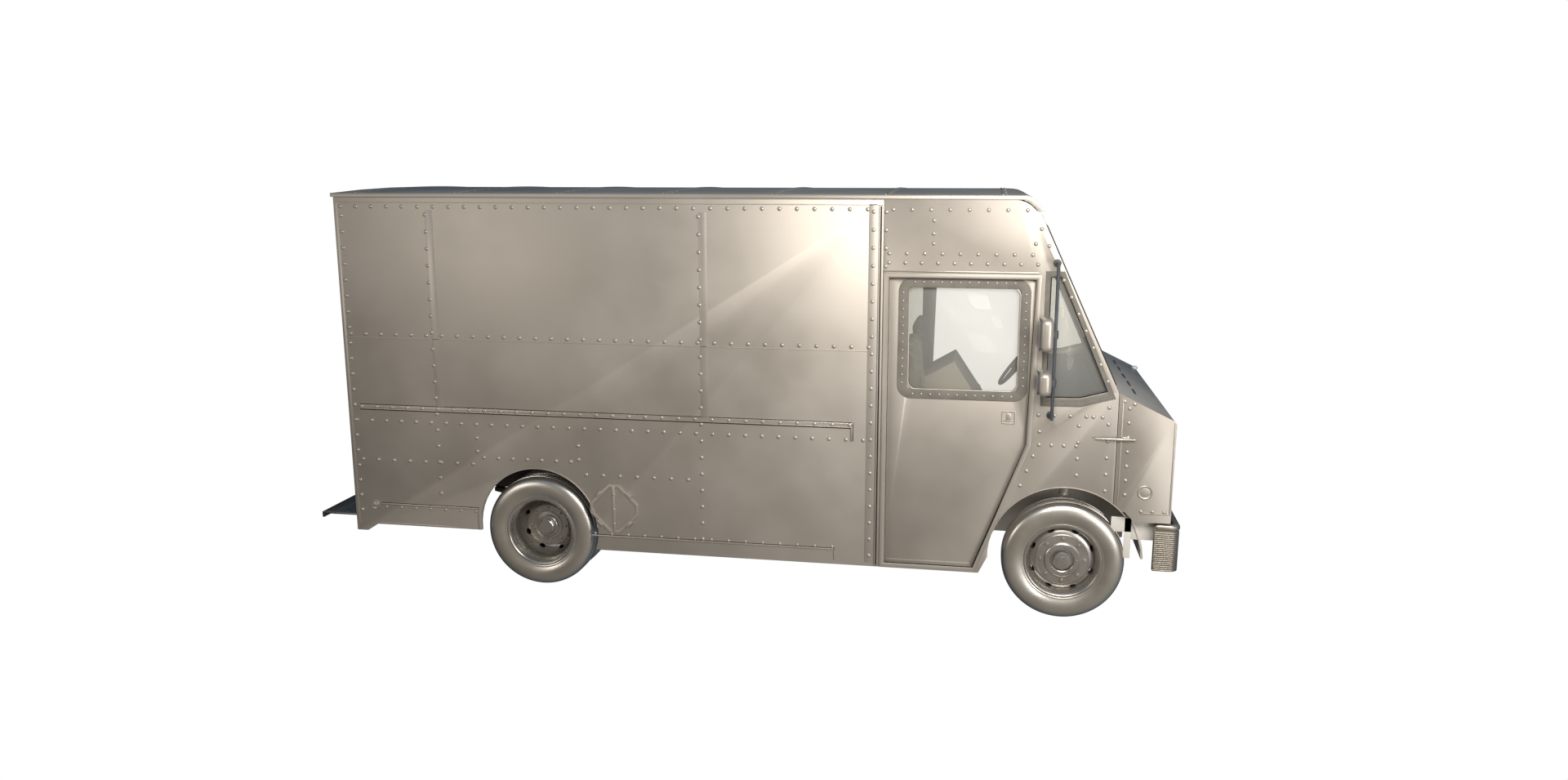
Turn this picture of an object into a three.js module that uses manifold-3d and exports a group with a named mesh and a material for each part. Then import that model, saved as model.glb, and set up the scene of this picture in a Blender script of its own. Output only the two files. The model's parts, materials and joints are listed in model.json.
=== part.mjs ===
// Step van for mail delivery: a riveted sheet-metal body on a ladder frame.
// Millimetres, +X forward, +Y to the vehicle's left, +Z up, origin on the ground at the middle of the outline.
import * as THREE from 'three';
import { mergeVertices } from 'three/addons/utils/BufferGeometryUtils.js';
import Module from 'manifold-3d';

const wasm = await Module();
wasm.setup();

// ---- driving dimensions ----
const GAP = 0.4;                 // clearance between neighbouring pieces
const HALF_WIDTH = 1075;         // outer skin, from the centre plane
const WALL = 30;                 // side wall: skin, posts and lining together
const INSIDE = HALF_WIDTH - WALL;
const ROOF_EDGE_Z = 2850;
const ROOF_CROWN = 28;
const ROOF_SHEET = 28;
const BODY_REAR_X = -2855;
const CAB_SEAM_X = 1130;
const SILL_Z = 270;
const FLOOR_TOP = 800;
const FLOOR_THICK = 40;

const FRONT_AXLE_X = 2390;
const REAR_AXLE_X = -1395;
const TYRE_R = 415;
const ARCH_Z = 400;
// heights here are measured from a datum under the body, which the finished tyres lift off the ground
const AXLE_Z = 370;
const RISE = TYRE_R - AXLE_Z;
const TYRE_HALF = 112;           // half of the tyre section
const BEAD_R = 250;
const RIM_R = 262;
const WHEEL_SIDES = 24;
const FRONT_TRACK_Y = 930;
const DUAL_OUTER_Y = 937;
const DUAL_INNER_Y = 662;
const FRONT_ARCH_R = 510;
const REAR_ARCH = { x: -1385, z: 410, r: 455 };

const WIND_FOOT = { x: 2699, z: 1567 };   // lower edge of the windshield plane
const WIND_HEAD = { x: 2150, z: 2733 };   // upper edge
const WIND_TILT = Math.atan2(WIND_FOOT.x - WIND_HEAD.x, WIND_HEAD.z - WIND_FOOT.z);
const WIND_HEIGHT = Math.hypot(WIND_FOOT.x - WIND_HEAD.x, WIND_HEAD.z - WIND_FOOT.z);

const NOSE_SEAM_X = 2701;
const NOSE_FRONT_X = 3075;
const NOSE_TOP_Z = 1394;
const NOSE_SKIRT_Z = 760;
const NOSE_LIP_Z = 694;
const NOSE_WALL = 25;
const FIREWALL_X = 2640;
const LAMP = { y: 790, z: 1060, r: 100 };
const GRILLE = { y: 470, low: 850, high: 1290 };

const RAIL = { inner: 380, outer: 430, low: 520, high: 720 };
const KINGPIN_Y = 770;
const STEER_ARM = 200;
const SHAFT_Z = 420;

const DOOR = { rear: 1168, front: 2136, top: 2306, bottom: 304, elbow: 1193, frontBottom: 1785 };
const DOOR_LAP = 16;             // how far the sliding door reaches past its opening
const DOOR_IN = 1010;            // the sliding door's inner and outer faces
const DOOR_OUT = 1040;
const DOOR_TRAVEL = 745;         // the left door rests slid back by this much
const DOOR_WINDOW = { rear: 1300, front: 2040, low: 1543, high: 2250, round: 60 };

const DOORWAY = { half: 780, low: FLOOR_TOP + 5, high: 2500 };
const SEAT_Y = 540;
const WHEEL_HOUSE_IN = 560;
const MIRROR_ROD = { x: 2262, y: 1215 };

// ---- finishes ----
function finish(color, roughness, metalness, opacity = 1) {
  return { color, roughness, metalness, opacity };
}
const SKIN = finish('#b9ad9d', 0.42, 0.9);
const TRIM = finish('#8f8a83', 0.5, 0.9);
const CHASSIS = finish('#4a4946', 0.7, 0.6);
const RUBBER = finish('#a59a8c', 0.55, 0.7);
const GLASS = finish('#dfe5e6', 0.06, 0, 0.35);
const VINYL = finish('#8d8780', 0.6, 0);
const DARK = finish('#53575c', 0.6, 0.1);

// ---- making solids ----
function outward(geometry) {
  const position = geometry.attributes.position;
  const index = geometry.index.array;
  const [a, b, c] = [new THREE.Vector3(), new THREE.Vector3(), new THREE.Vector3()];
  let volume = 0;
  for (let i = 0; i < index.length; i += 3) {
    a.fromBufferAttribute(position, index[i]);
    b.fromBufferAttribute(position, index[i + 1]);
    c.fromBufferAttribute(position, index[i + 2]);
    volume += a.dot(b.cross(c));
  }
  if (volume < 0) {
    for (let i = 0; i < index.length; i += 3) {
      [index[i + 1], index[i + 2]] = [index[i + 2], index[i + 1]];
    }
  }
  return geometry;
}

function toSolid(geometry) {
  const bare = geometry.clone();
  bare.deleteAttribute('normal');
  bare.deleteAttribute('uv');
  const merged = outward(mergeVertices(bare, 1e-3));
  return new wasm.Manifold(new wasm.Mesh({
    numProp: 3,
    vertProperties: new Float32Array(merged.attributes.position.array),
    triVerts: new Uint32Array(merged.index.array),
  }));
}

function toGeometry(solid) {
  const mesh = solid.getMesh();
  const geometry = new THREE.BufferGeometry();
  geometry.setAttribute('position', new THREE.BufferAttribute(new Float32Array(mesh.vertProperties), 3));
  geometry.setIndex(new THREE.BufferAttribute(new Uint32Array(mesh.triVerts), 1));
  return geometry;
}

function join(first, ...others) {
  return others.reduce((whole, piece) => whole.add(piece), first);
}

function cut(whole, ...tools) {
  return tools.reduce((rest, tool) => rest.subtract(tool), whole);
}

function box(x0, x1, y0, y1, z0, z1) {
  const geometry = new THREE.BoxGeometry(x1 - x0, y1 - y0, z1 - z0);
  geometry.translate((x0 + x1) / 2, (y0 + y1) / 2, (z0 + z1) / 2);
  return toSolid(geometry);
}

// a box on one side of the vehicle: side is -1 on the right and 1 on the left
function sideBox(side, x0, x1, inner, outer, z0, z1) {
  return box(x0, x1, side > 0 ? inner : -outer, side > 0 ? outer : -inner, z0, z1);
}

function polygon(points) {
  return new THREE.Shape(points.map(([u, v]) => new THREE.Vector2(u, v)));
}

function roundedPolygon(points, radius) {
  const shape = new THREE.Shape();
  const corners = points.map(([u, v]) => new THREE.Vector2(u, v));
  corners.forEach((corner, i) => {
    const before = corners[(i + corners.length - 1) % corners.length];
    const after = corners[(i + 1) % corners.length];
    const enter = corner.clone().add(before.clone().sub(corner).setLength(radius));
    const leave = corner.clone().add(after.clone().sub(corner).setLength(radius));
    if (i === 0) {
      shape.moveTo(enter.x, enter.y);
    } else {
      shape.lineTo(enter.x, enter.y);
    }
    shape.quadraticCurveTo(corner.x, corner.y, leave.x, leave.y);
  });
  return shape;
}

function extrude(shape, depth) {
  return new THREE.ExtrudeGeometry(shape, { depth, bevelEnabled: false, curveSegments: 5 });
}

// an (x, z) outline carried along Y
function alongY(shape, y0, y1) {
  const geometry = extrude(shape, y1 - y0);
  geometry.rotateX(Math.PI / 2);
  geometry.translate(0, y1, 0);
  return toSolid(geometry);
}

function sideWall(shape, side, inner, outer) {
  return alongY(shape, side > 0 ? inner : -outer, side > 0 ? outer : -inner);
}

// a (y, z) outline carried along X
function alongX(shape, x0, x1) {
  const geometry = extrude(shape, x1 - x0);
  const turn = new THREE.Matrix4().makeBasis(
    new THREE.Vector3(0, 1, 0), new THREE.Vector3(0, 0, 1), new THREE.Vector3(1, 0, 0));
  geometry.applyMatrix4(turn);
  geometry.translate(x0, 0, 0);
  return toSolid(geometry);
}

// an (x, y) outline carried along Z
function alongZ(shape, z0, z1) {
  const geometry = extrude(shape, z1 - z0);
  geometry.translate(0, 0, z0);
  return toSolid(geometry);
}

// a profile of [radius, y] pairs turned about the line through (x, z) along Y, with a flat facing down
function turned(profile, x, z, sides = WHEEL_SIDES) {
  const points = profile.map(([r, y]) => new THREE.Vector2(r / Math.cos(Math.PI / sides), y));
  const geometry = new THREE.LatheGeometry(points, sides, Math.PI / sides);
  geometry.translate(x, 0, z);
  return toSolid(geometry);
}

function rod(start, end, radius, sides = 12) {
  const from = new THREE.Vector3(...start);
  const to = new THREE.Vector3(...end);
  const along = to.clone().sub(from);
  const geometry = new THREE.CylinderGeometry(radius, radius, along.length(), sides);
  geometry.applyQuaternion(new THREE.Quaternion().setFromUnitVectors(
    new THREE.Vector3(0, 1, 0), along.clone().normalize()));
  geometry.translate(...from.add(to).multiplyScalar(0.5).toArray());
  return toSolid(geometry);
}

// ---- the scene graph ----
const group = new THREE.Group();

function addPiece(name, solid, look) {
  const geometry = toGeometry(solid);
  geometry.computeVertexNormals();
  const material = new THREE.MeshStandardMaterial({
    color: look.color,
    roughness: look.roughness,
    metalness: look.metalness,
    opacity: look.opacity,
    transparent: look.opacity < 1,
  });
  const piece = new THREE.Mesh(geometry, material);
  piece.name = name;
  piece.position.z = RISE;
  group.add(piece);
  return piece;
}

const SIDES = [['right', -1], ['left', 1]];

// ---- cargo body ----
function archCutter(arch, reach = HALF_WIDTH + 10) {
  return turned([[0, -reach], [arch.r, -reach], [arch.r, reach], [0, reach]], arch.x, arch.z, 48);
}

const FRONT_ARCH = { x: FRONT_AXLE_X, z: ARCH_Z, r: FRONT_ARCH_R };

function sidePanel(side) {
  const sill = polygon([
    [BODY_REAR_X, 317], [-2767, 317], [-2682, 371], [-1600, 371], [-1200, SILL_Z],
    [CAB_SEAM_X - GAP, SILL_Z], [CAB_SEAM_X - GAP, ROOF_EDGE_Z - ROOF_SHEET - GAP],
    [BODY_REAR_X, ROOF_EDGE_Z - ROOF_SHEET - GAP],
  ]);
  return cut(sideWall(sill, side, INSIDE, HALF_WIDTH), archCutter(REAR_ARCH));
}

function roofBlock(drop, back) {
  const lowest = 2752 - drop;
  const outline = new THREE.Shape();
  outline.moveTo(-2875 - back, lowest);
  outline.lineTo(2166 - back, lowest);
  outline.quadraticCurveTo(2110 - back, 2880 - drop, 1880 - back, 2880 - drop);
  outline.lineTo(-2875 - back, 2880 - drop);
  const arc = new THREE.Shape();
  arc.moveTo(-HALF_WIDTH, lowest - 10);
  arc.lineTo(HALF_WIDTH, lowest - 10);
  arc.lineTo(HALF_WIDTH, ROOF_EDGE_Z - drop);
  arc.quadraticCurveTo(0, ROOF_EDGE_Z + 2 * ROOF_CROWN - drop, -HALF_WIDTH, ROOF_EDGE_Z - drop);
  return alongY(outline, -HALF_WIDTH, HALF_WIDTH).intersect(alongX(arc, -3000, 2300));
}

function roof() {
  const below = box(-3000, 2300, -1200, 1200, 2600, 2752);
  return cut(roofBlock(0, 0), roofBlock(ROOF_SHEET, ROOF_SHEET), below);
}

function rearPortal() {
  const plate = box(BODY_REAR_X, BODY_REAR_X + 30, -INSIDE + GAP, INSIDE - GAP, 560, 2818);
  const doorway = box(-3000, -2700, -DOORWAY.half, DOORWAY.half, DOORWAY.low, DOORWAY.high);
  return cut(plate, doorway);
}

function rearDoor(side) {
  return sideBox(side, BODY_REAR_X, BODY_REAR_X + 28, 3, DOORWAY.half - 5, DOORWAY.low + 5, DOORWAY.high - 5);
}

function rearStep() {
  const plate = box(-3150, -2861, -1060, 1060, 425, 440);
  const lip = box(-3150, -3135, -1060, 1060, 395, 425.5);
  const hangers = SIDES.map(([, side]) => sideBox(side, -2900, -2861, 385, 425, 425, 700));
  return join(plate, lip, ...hangers);
}

function bearers() {
  return [-2700, -2100, -700, -200, 300, 800].map(
    (x) => box(x - 30, x + 30, -990, 990, RAIL.high + GAP, FLOOR_TOP - FLOOR_THICK + 1));
}

function rearWheelWell(side) {
  const cover = sideBox(side, -1895, -875, 505, INSIDE - GAP, FLOOR_TOP - FLOOR_THICK, 930);
  const hollow = sideBox(side, -1880, -890, 520, INSIDE + 5, 600, 915);
  return { cover, hollow };
}

function frontWheelHouse(side) {
  const shell = turned([[0, -1003], [531, -1003], [531, 1003], [0, 1003]], FRONT_AXLE_X, ARCH_Z, 48);
  const inside = sideBox(side, 1800, 2980, WHEEL_HOUSE_IN, 1003, ARCH_Z + 12, 1000);
  const hollowTube = turned([[0, -1100], [516, -1100], [516, 1100], [0, 1100]], FRONT_AXLE_X, ARCH_Z, 48);
  const hollow = hollowTube.intersect(sideBox(side, 1800, 2980, WHEEL_HOUSE_IN + 15, 1100, 0, 1000));
  const axleGap = sideBox(side, 1900, 2880, WHEEL_HOUSE_IN - 5, WHEEL_HOUSE_IN + 20, 300, 560);
  return { cover: shell.intersect(inside), hollow: hollow.add(axleGap) };
}

function entryStep(side) {
  const well = sideBox(side, 1190, 1810, 590, 1000, 400, FLOOR_TOP - 5);
  const hollow = sideBox(side, 1205, 1795, 605, 1010, 425, FLOOR_TOP + 10);
  return { well, hollow };
}

function bodyFloor() {
  const cargo = box(BODY_REAR_X + 31, 350, -INSIDE + GAP, INSIDE - GAP, FLOOR_TOP - FLOOR_THICK, FLOOR_TOP);
  const cab = box(349, FIREWALL_X - GAP, -1000, 1000, FLOOR_TOP - FLOOR_THICK, FLOOR_TOP);
  const engineBay = box(1700, 2700, -275, 275, 700, 900);
  const pedestal = box(1400, 1780, -SEAT_Y - 190, -SEAT_Y + 190, FLOOR_TOP - 1, 1135);
  const wells = SIDES.map(([, side]) => rearWheelWell(side));
  const houses = SIDES.map(([, side]) => frontWheelHouse(side));
  const steps = SIDES.map(([, side]) => entryStep(side));
  const whole = join(cargo, cab, ...bearers(), ...wells.map((w) => w.cover), ...houses.map((h) => h.cover),
    ...steps.map((s) => s.well));
  const open = cut(whole, engineBay, ...wells.map((w) => w.hollow), ...houses.map((h) => h.hollow),
    ...steps.map((s) => s.hollow));
  return join(open, pedestal);
}

// ---- cab ----
function windshieldEdge(z) {
  const slope = (WIND_FOOT.x - WIND_HEAD.x) / (WIND_HEAD.z - WIND_FOOT.z);
  return WIND_FOOT.x - (z - WIND_FOOT.z) * slope;
}

function doorOutline(lap) {
  return polygon([
    [DOOR.rear - lap, DOOR.bottom - lap], [DOOR.frontBottom + lap * 0.6, DOOR.bottom - lap],
    [DOOR.front - 26 + lap, DOOR.elbow], [DOOR.front + lap, DOOR.top + lap], [DOOR.rear - lap, DOOR.top + lap],
  ]);
}

function quarterOutline(grow) {
  return roundedPolygon([
    [2222 - grow, 1523 - grow], [2450, 1528 - grow], [2632 + grow, 1578 - grow * 0.6],
    [2292 + grow * 0.1, 2330 + grow], [2226 - grow, 2330 + grow],
  ], 22);
}

function cabSide(side) {
  const topZ = ROOF_EDGE_Z - ROOF_SHEET - GAP;
  const outline = new THREE.Shape();
  outline.moveTo(CAB_SEAM_X, SILL_Z);
  outline.lineTo(1822, SILL_Z);
  outline.lineTo(1890, 410);
  outline.lineTo(NOSE_SEAM_X - 3, 700);
  outline.lineTo(NOSE_SEAM_X - 3, WIND_FOOT.z);
  outline.lineTo(windshieldEdge(2745) - 2, 2745);
  outline.lineTo(2119, 2751);
  outline.quadraticCurveTo(2074, 2809, 2000, topZ);
  outline.lineTo(CAB_SEAM_X, topZ);
  const wall = sideWall(outline, side, INSIDE, HALF_WIDTH);
  return cut(wall, archCutter(FRONT_ARCH), alongY(doorOutline(0), -1200, 1200),
    alongY(quarterOutline(0), -1200, 1200));
}

function quarterWindow(side) {
  return sideWall(quarterOutline(14), side, INSIDE - GAP - 6, INSIDE - GAP);
}

function cabDoor(side) {
  const window = roundedPolygon([
    [DOOR_WINDOW.rear, DOOR_WINDOW.low], [DOOR_WINDOW.front, DOOR_WINDOW.low],
    [DOOR_WINDOW.front, DOOR_WINDOW.high], [DOOR_WINDOW.rear, DOOR_WINDOW.high],
  ], DOOR_WINDOW.round);
  const leaf = sideWall(doorOutline(DOOR_LAP), side, DOOR_IN, DOOR_OUT);
  return cut(leaf, alongY(window, -1200, 1200));
}

function doorGlass(side) {
  const edge = 14;
  const pane = roundedPolygon([
    [DOOR_WINDOW.rear - edge, DOOR_WINDOW.low - edge], [DOOR_WINDOW.front + edge, DOOR_WINDOW.low - edge],
    [DOOR_WINDOW.front + edge, DOOR_WINDOW.high + edge], [DOOR_WINDOW.rear - edge, DOOR_WINDOW.high + edge],
  ], DOOR_WINDOW.round);
  return sideWall(pane, side, DOOR_IN - GAP - 5, DOOR_IN - GAP);
}

// pieces drawn upright at the windshield's foot, then leaned back with it
function leaned(solid) {
  const geometry = toGeometry(solid);
  geometry.rotateY(-WIND_TILT);
  geometry.translate(WIND_FOOT.x, 0, WIND_FOOT.z);
  return toSolid(geometry);
}

function cabFrontFrame() {
  const reach = INSIDE - GAP;
  const slab = box(-34, 0, -reach, reach, 0, WIND_HEIGHT - 6);
  const openings = SIDES.map(([, side]) => sideBox(side, -60, 20, 22, 965, 105, WIND_HEIGHT - 110));
  const frame = leaned(cut(slab, ...openings));
  const cowl = alongY(polygon([
    [FIREWALL_X, 1490], [NOSE_SEAM_X - 4, 1490], [NOSE_SEAM_X - 4, 1562], [2690, 1590], [FIREWALL_X, 1590],
  ]), -reach, reach);
  const firewall = box(FIREWALL_X, FIREWALL_X + 25, -reach, reach, 945, 1560);
  const lower = box(FIREWALL_X, FIREWALL_X + 25, -550, 550, 730, 950);
  const engineGap = box(2600, 2700, -275, 275, 700, 1220);
  return cut(join(frame, cowl, firewall, lower), engineGap);
}

function windshieldGlass() {
  return leaned(box(-34 - GAP - 6, -34 - GAP, -990, 990, 80, WIND_HEIGHT - 85));
}

function cabBulkhead() {
  const plate = box(1000, 1030, -1000, 1000, FLOOR_TOP + GAP, 2818);
  return cut(plate, box(900, 1100, -380, 380, 700, 2450));
}

function dashboard() {
  const body = alongY(polygon([
    [2205, 1235], [2205, 1440], [2240, 1498], [2600, 1505], [2625, 1480], [2625, 1235],
  ]), -990, 990);
  return body;
}

const STEERING = {
  centre: new THREE.Vector3(2075, 500, 1484),
  axis: new THREE.Vector3(-0.78, 0, 0.6258).normalize(),
  radius: 205,
};

function alongColumn(distance) {
  return STEERING.centre.clone().addScaledVector(STEERING.axis, -distance).toArray();
}

function dashboardWithColumn() {
  return join(dashboard(), rod(alongColumn(40), alongColumn(240), 34));
}

function steeringWheel() {
  const ring = new THREE.TorusGeometry(STEERING.radius, 15, 6, 24);
  ring.applyQuaternion(new THREE.Quaternion().setFromUnitVectors(new THREE.Vector3(0, 0, 1), STEERING.axis));
  ring.translate(...STEERING.centre.toArray());
  const hub = rod(alongColumn(-12), alongColumn(39), 42);
  const spokes = [0, 1, 2].map((i) => {
    const angle = (2 * Math.PI * i) / 3;
    const across = new THREE.Vector3(0, Math.cos(angle), 0);
    const up = new THREE.Vector3(STEERING.axis.z, 0, -STEERING.axis.x).multiplyScalar(Math.sin(angle));
    const end = STEERING.centre.clone().addScaledVector(across.add(up), STEERING.radius - 2);
    return rod(STEERING.centre.toArray(), end.toArray(), 12, 8);
  });
  return join(toSolid(ring), hub, ...spokes);
}

function seatCushion(centreY) {
  return box(1375, 1820, centreY - 230, centreY + 230, 1150, 1280);
}

function seatBack(centreY) {
  return alongY(polygon([
    [1290, 1285], [1400, 1285], [1345, 1835], [1325, 1858], [1265, 1858], [1245, 1830],
  ]), centreY - 225, centreY + 225);
}

function seatPedestal() {
  const stand = box(1400, 1780, SEAT_Y - 190, SEAT_Y + 190, FLOOR_TOP + GAP, 1130);
  const rails = [-150, 150].map((y) => box(1320, 1830, SEAT_Y + y - 20, SEAT_Y + y + 20, 1129, 1149));
  return join(stand, ...rails);
}

function engineCover() {
  const outer = polygon([
    [1320, FLOOR_TOP + GAP], [FIREWALL_X - GAP, FLOOR_TOP + GAP], [FIREWALL_X - GAP, 1228], [1860, 1228],
    [1595, 1622], [1320, 1462],
  ]);
  const inner = polygon([
    [1345, 700], [2700, 700], [2700, 1204], [1848, 1204], [1588, 1590], [1345, 1449],
  ]);
  return cut(alongY(outer, -300, 300), alongY(inner, -276, 276));
}

function brakePedal() {
  const arm = rod([2420, 420, 1215], [2350, 420, 960], 10, 8);
  const eye = rod([2420, 400, 1215], [2420, 440, 1215], 18, 12);
  const pad = box(2326, 2350, 375, 465, 925, 1005);
  return join(arm, eye, pad);
}

// ---- nose ----
function noseOutline(inset) {
  return polygon([
    [NOSE_SEAM_X, NOSE_LIP_Z], [NOSE_FRONT_X - inset, NOSE_LIP_Z], [NOSE_FRONT_X - inset, 1372],
    [3058 - inset, NOSE_TOP_Z - inset], [NOSE_SEAM_X, WIND_FOOT.z - inset],
  ]);
}

function nose() {
  const shell = cut(
    alongY(noseOutline(0), -HALF_WIDTH, HALF_WIDTH),
    alongY(noseOutline(NOSE_WALL), -HALF_WIDTH + NOSE_WALL, HALF_WIDTH - NOSE_WALL),
    box(2690, 3040, -1020, 1020, 600, 900),
    box(2600, 2702, -HALF_WIDTH + NOSE_WALL, HALF_WIDTH - NOSE_WALL, 600, 1545));
  const skirt = alongY(polygon([[2690, 600], [2850, 600], [2838, NOSE_LIP_Z], [2778, NOSE_SKIRT_Z],
    [2690, NOSE_SKIRT_Z]]), -1200, 1200);
  const grilleHole = box(3000, 3100, -GRILLE.y, GRILLE.y, GRILLE.low, GRILLE.high);
  const lampHoles = SIDES.map(([, side]) => rod([3000, side * LAMP.y, LAMP.z], [3100, side * LAMP.y, LAMP.z],
    LAMP.r, 24));
  return cut(shell, skirt, archCutter(FRONT_ARCH), grilleHole, ...lampHoles);
}

function grille() {
  const frontX = NOSE_FRONT_X + 2;
  const plate = box(frontX - 22, frontX, -GRILLE.y + 2, GRILLE.y - 2, GRILLE.low + 2, GRILLE.high - 2);
  const slotCount = 7;
  const pitch = (GRILLE.high - GRILLE.low - 40) / slotCount;
  const slots = Array.from({ length: slotCount }, (_, i) => {
    const low = GRILLE.low + 32 + i * pitch;
    return box(3000, 3100, -GRILLE.y + 35, GRILLE.y - 35, low, low + pitch - 24);
  });
  return cut(plate, ...slots);
}

function headLamp(side) {
  const y = side * LAMP.y;
  const barrel = rod([3000, y, LAMP.z], [NOSE_FRONT_X + 6, y, LAMP.z], LAMP.r - 2, 24);
  return join(barrel, rod([2960, y, LAMP.z], [3001, y, LAMP.z], LAMP.r - 40, 16));
}

// ---- chassis ----
function ladderFrame() {
  const rail = polygon([
    [-2820, RAIL.low], [3098, RAIL.low], [3098, 680], [2620, 680], [2580, RAIL.high], [-2820, RAIL.high],
  ]);
  const rails = SIDES.map(([, side]) => sideWall(rail, side, RAIL.inner, RAIL.outer));
  const members = [-2780, -1900, -700, 250, 1000].map(
    (x) => box(x - 30, x + 30, -RAIL.inner - 10, RAIL.inner + 10, RAIL.low + 20, RAIL.high - 20));
  const front = box(2740, 2800, -RAIL.inner - 10, RAIL.inner + 10, RAIL.low + 10, 600);
  const radiator = box(2750, 2790, -300, 300, 590, 1190);
  return join(...rails, ...members, front, radiator);
}

function frontBumper() {
  const outer = new THREE.Shape();
  outer.moveTo(2975, -HALF_WIDTH);
  outer.lineTo(3085, -HALF_WIDTH);
  outer.quadraticCurveTo(3150, -HALF_WIDTH, 3150, -1000);
  outer.lineTo(3150, 1000);
  outer.quadraticCurveTo(3150, HALF_WIDTH, 3085, HALF_WIDTH);
  outer.lineTo(2975, HALF_WIDTH);
  const hollow = box(2900, 3100, -HALF_WIDTH + 45, HALF_WIDTH - 45, 300, 700);
  return cut(alongZ(outer, 353, 684), hollow);
}

function fuelTank() {
  const tank = alongX(roundedPolygon([[-960, 340], [-470, 340], [-470, 690], [-960, 690]], 70), -620, 120);
  return join(tank, rod([-300, -500, 689], [-300, -500, 712], 40, 12));
}

function engineWithGearbox() {
  const block = box(1960, 2600, -190, 190, 520, 1090);
  const sump = box(2080, 2560, -140, 140, 450, 521);
  const cover = box(2000, 2560, -110, 110, 1089, 1180);
  const bell = rod([1960.5, 0, 620], [1780, 0, 600], 150, 16);
  const gearbox = box(1420, 1790, -110, 110, 470, 700);
  const tail = rod([1421, 0, SHAFT_Z + 80], [1320, 0, SHAFT_Z + 80], 60, 12);
  return join(block, sump, cover, bell, gearbox, tail);
}

function leafSpring(side, axleX, halfSpan, seatZ) {
  const thick = 32;
  const outline = new THREE.Shape();
  outline.moveTo(axleX - halfSpan, RAIL.low - 3);
  outline.quadraticCurveTo(axleX, 2 * seatZ - RAIL.low, axleX + halfSpan, RAIL.low - 3);
  outline.lineTo(axleX + halfSpan, RAIL.low - 3 - thick);
  outline.quadraticCurveTo(axleX, 2 * seatZ - RAIL.low - 2 * thick, axleX - halfSpan, RAIL.low - 3 - thick);
  return sideWall(outline, side, 384, 444);
}

function frontAxleBeam() {
  const beam = box(FRONT_AXLE_X - 32, FRONT_AXLE_X + 32, -724, 724, 345, 420);
  const springs = SIDES.map(([, side]) => leafSpring(side, FRONT_AXLE_X, 470, 436));
  return join(beam, ...springs);
}

function rearAxleHousing() {
  const tube = rod([REAR_AXLE_X, -720, AXLE_Z], [REAR_AXLE_X, 720, AXLE_Z], 62, 16);
  const banjo = turned([[0, -110], [110, -100], [165, -40], [165, 40], [110, 100], [0, 110]], REAR_AXLE_X,
    AXLE_Z, 20);
  const nose = rod([REAR_AXLE_X, 0, SHAFT_Z], [REAR_AXLE_X + 225, 0, SHAFT_Z], 72, 16);
  const springs = SIDES.map(([, side]) => leafSpring(side, REAR_AXLE_X, 620, 455));
  return join(tube, banjo, nose, ...springs);
}

function driveshaft() {
  const rearEnd = REAR_AXLE_X + 225 + GAP;
  const tube = rod([rearEnd + 20, 0, SHAFT_Z], [1290, 0, SHAFT_Z], 42, 16);
  const rearYoke = rod([rearEnd, 0, SHAFT_Z], [rearEnd + 40, 0, SHAFT_Z], 58, 12);
  const frontYoke = rod([1270, 0, SHAFT_Z], [1319, 0, SHAFT_Z], 58, 12);
  return join(tube, rearYoke, frontYoke);
}

// ---- steering and wheels ----
function knuckle(side) {
  const y = side * KINGPIN_Y;
  const boss = rod([FRONT_AXLE_X, y, 320], [FRONT_AXLE_X, y, 480], 42, 16);
  const spindle = rod([FRONT_AXLE_X, y, AXLE_Z], [FRONT_AXLE_X, side * 848, AXLE_Z], 34, 16);
  const arm = sideBox(side, FRONT_AXLE_X - STEER_ARM - 20, FRONT_AXLE_X, KINGPIN_Y - 18, KINGPIN_Y + 18, 335, 360);
  return join(boss, spindle, arm);
}

function tieRod() {
  const x = FRONT_AXLE_X - STEER_ARM;
  const bar = rod([x, -KINGPIN_Y, 310], [x, KINGPIN_Y, 310], 15, 10);
  const ends = SIDES.map(([, side]) => rod([x, side * KINGPIN_Y, 292], [x, side * KINGPIN_Y, 332], 21, 12));
  return join(bar, ...ends);
}

// a solid tyre section between two beads, y measured from the wheel's own middle
function tyre(axleX, middleY) {
  const section = [
    [BEAD_R, -84], [286, -102], [335, -TYRE_HALF], [TYRE_R - 25, -104], [TYRE_R, -84],
    [TYRE_R, 84], [TYRE_R - 25, 104], [335, TYRE_HALF], [286, 102], [BEAD_R, 84], [BEAD_R, -84],
  ];
  return turned(section.map(([r, y]) => [r, y + middleY]), axleX, AXLE_Z);
}

// a rim barrel with both flanges
function rimBarrel(middleY) {
  const flange = [
    [232, -98], [RIM_R, -98], [RIM_R, -92], [BEAD_R - 2, -84], [BEAD_R - 2, 84], [RIM_R, 92], [RIM_R, 98],
    [232, 98], [232, -98],
  ];
  return flange.map(([r, y]) => [r, y + middleY]);
}

function frontWheel(side) {
  const y = side * FRONT_TRACK_Y;
  const barrel = turned(rimBarrel(y), FRONT_AXLE_X, AXLE_Z);
  const out = (t) => y + side * t;
  const disc = turned([
    [0, out(-80)], [150, out(-80)], [150, out(-10)], [236, out(-10)], [236, out(12)], [178, out(52)],
    [120, out(58)], [72, out(62)], [72, out(100)], [0, out(100)],
  ], FRONT_AXLE_X, AXLE_Z);
  return join(barrel, disc);
}

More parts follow.
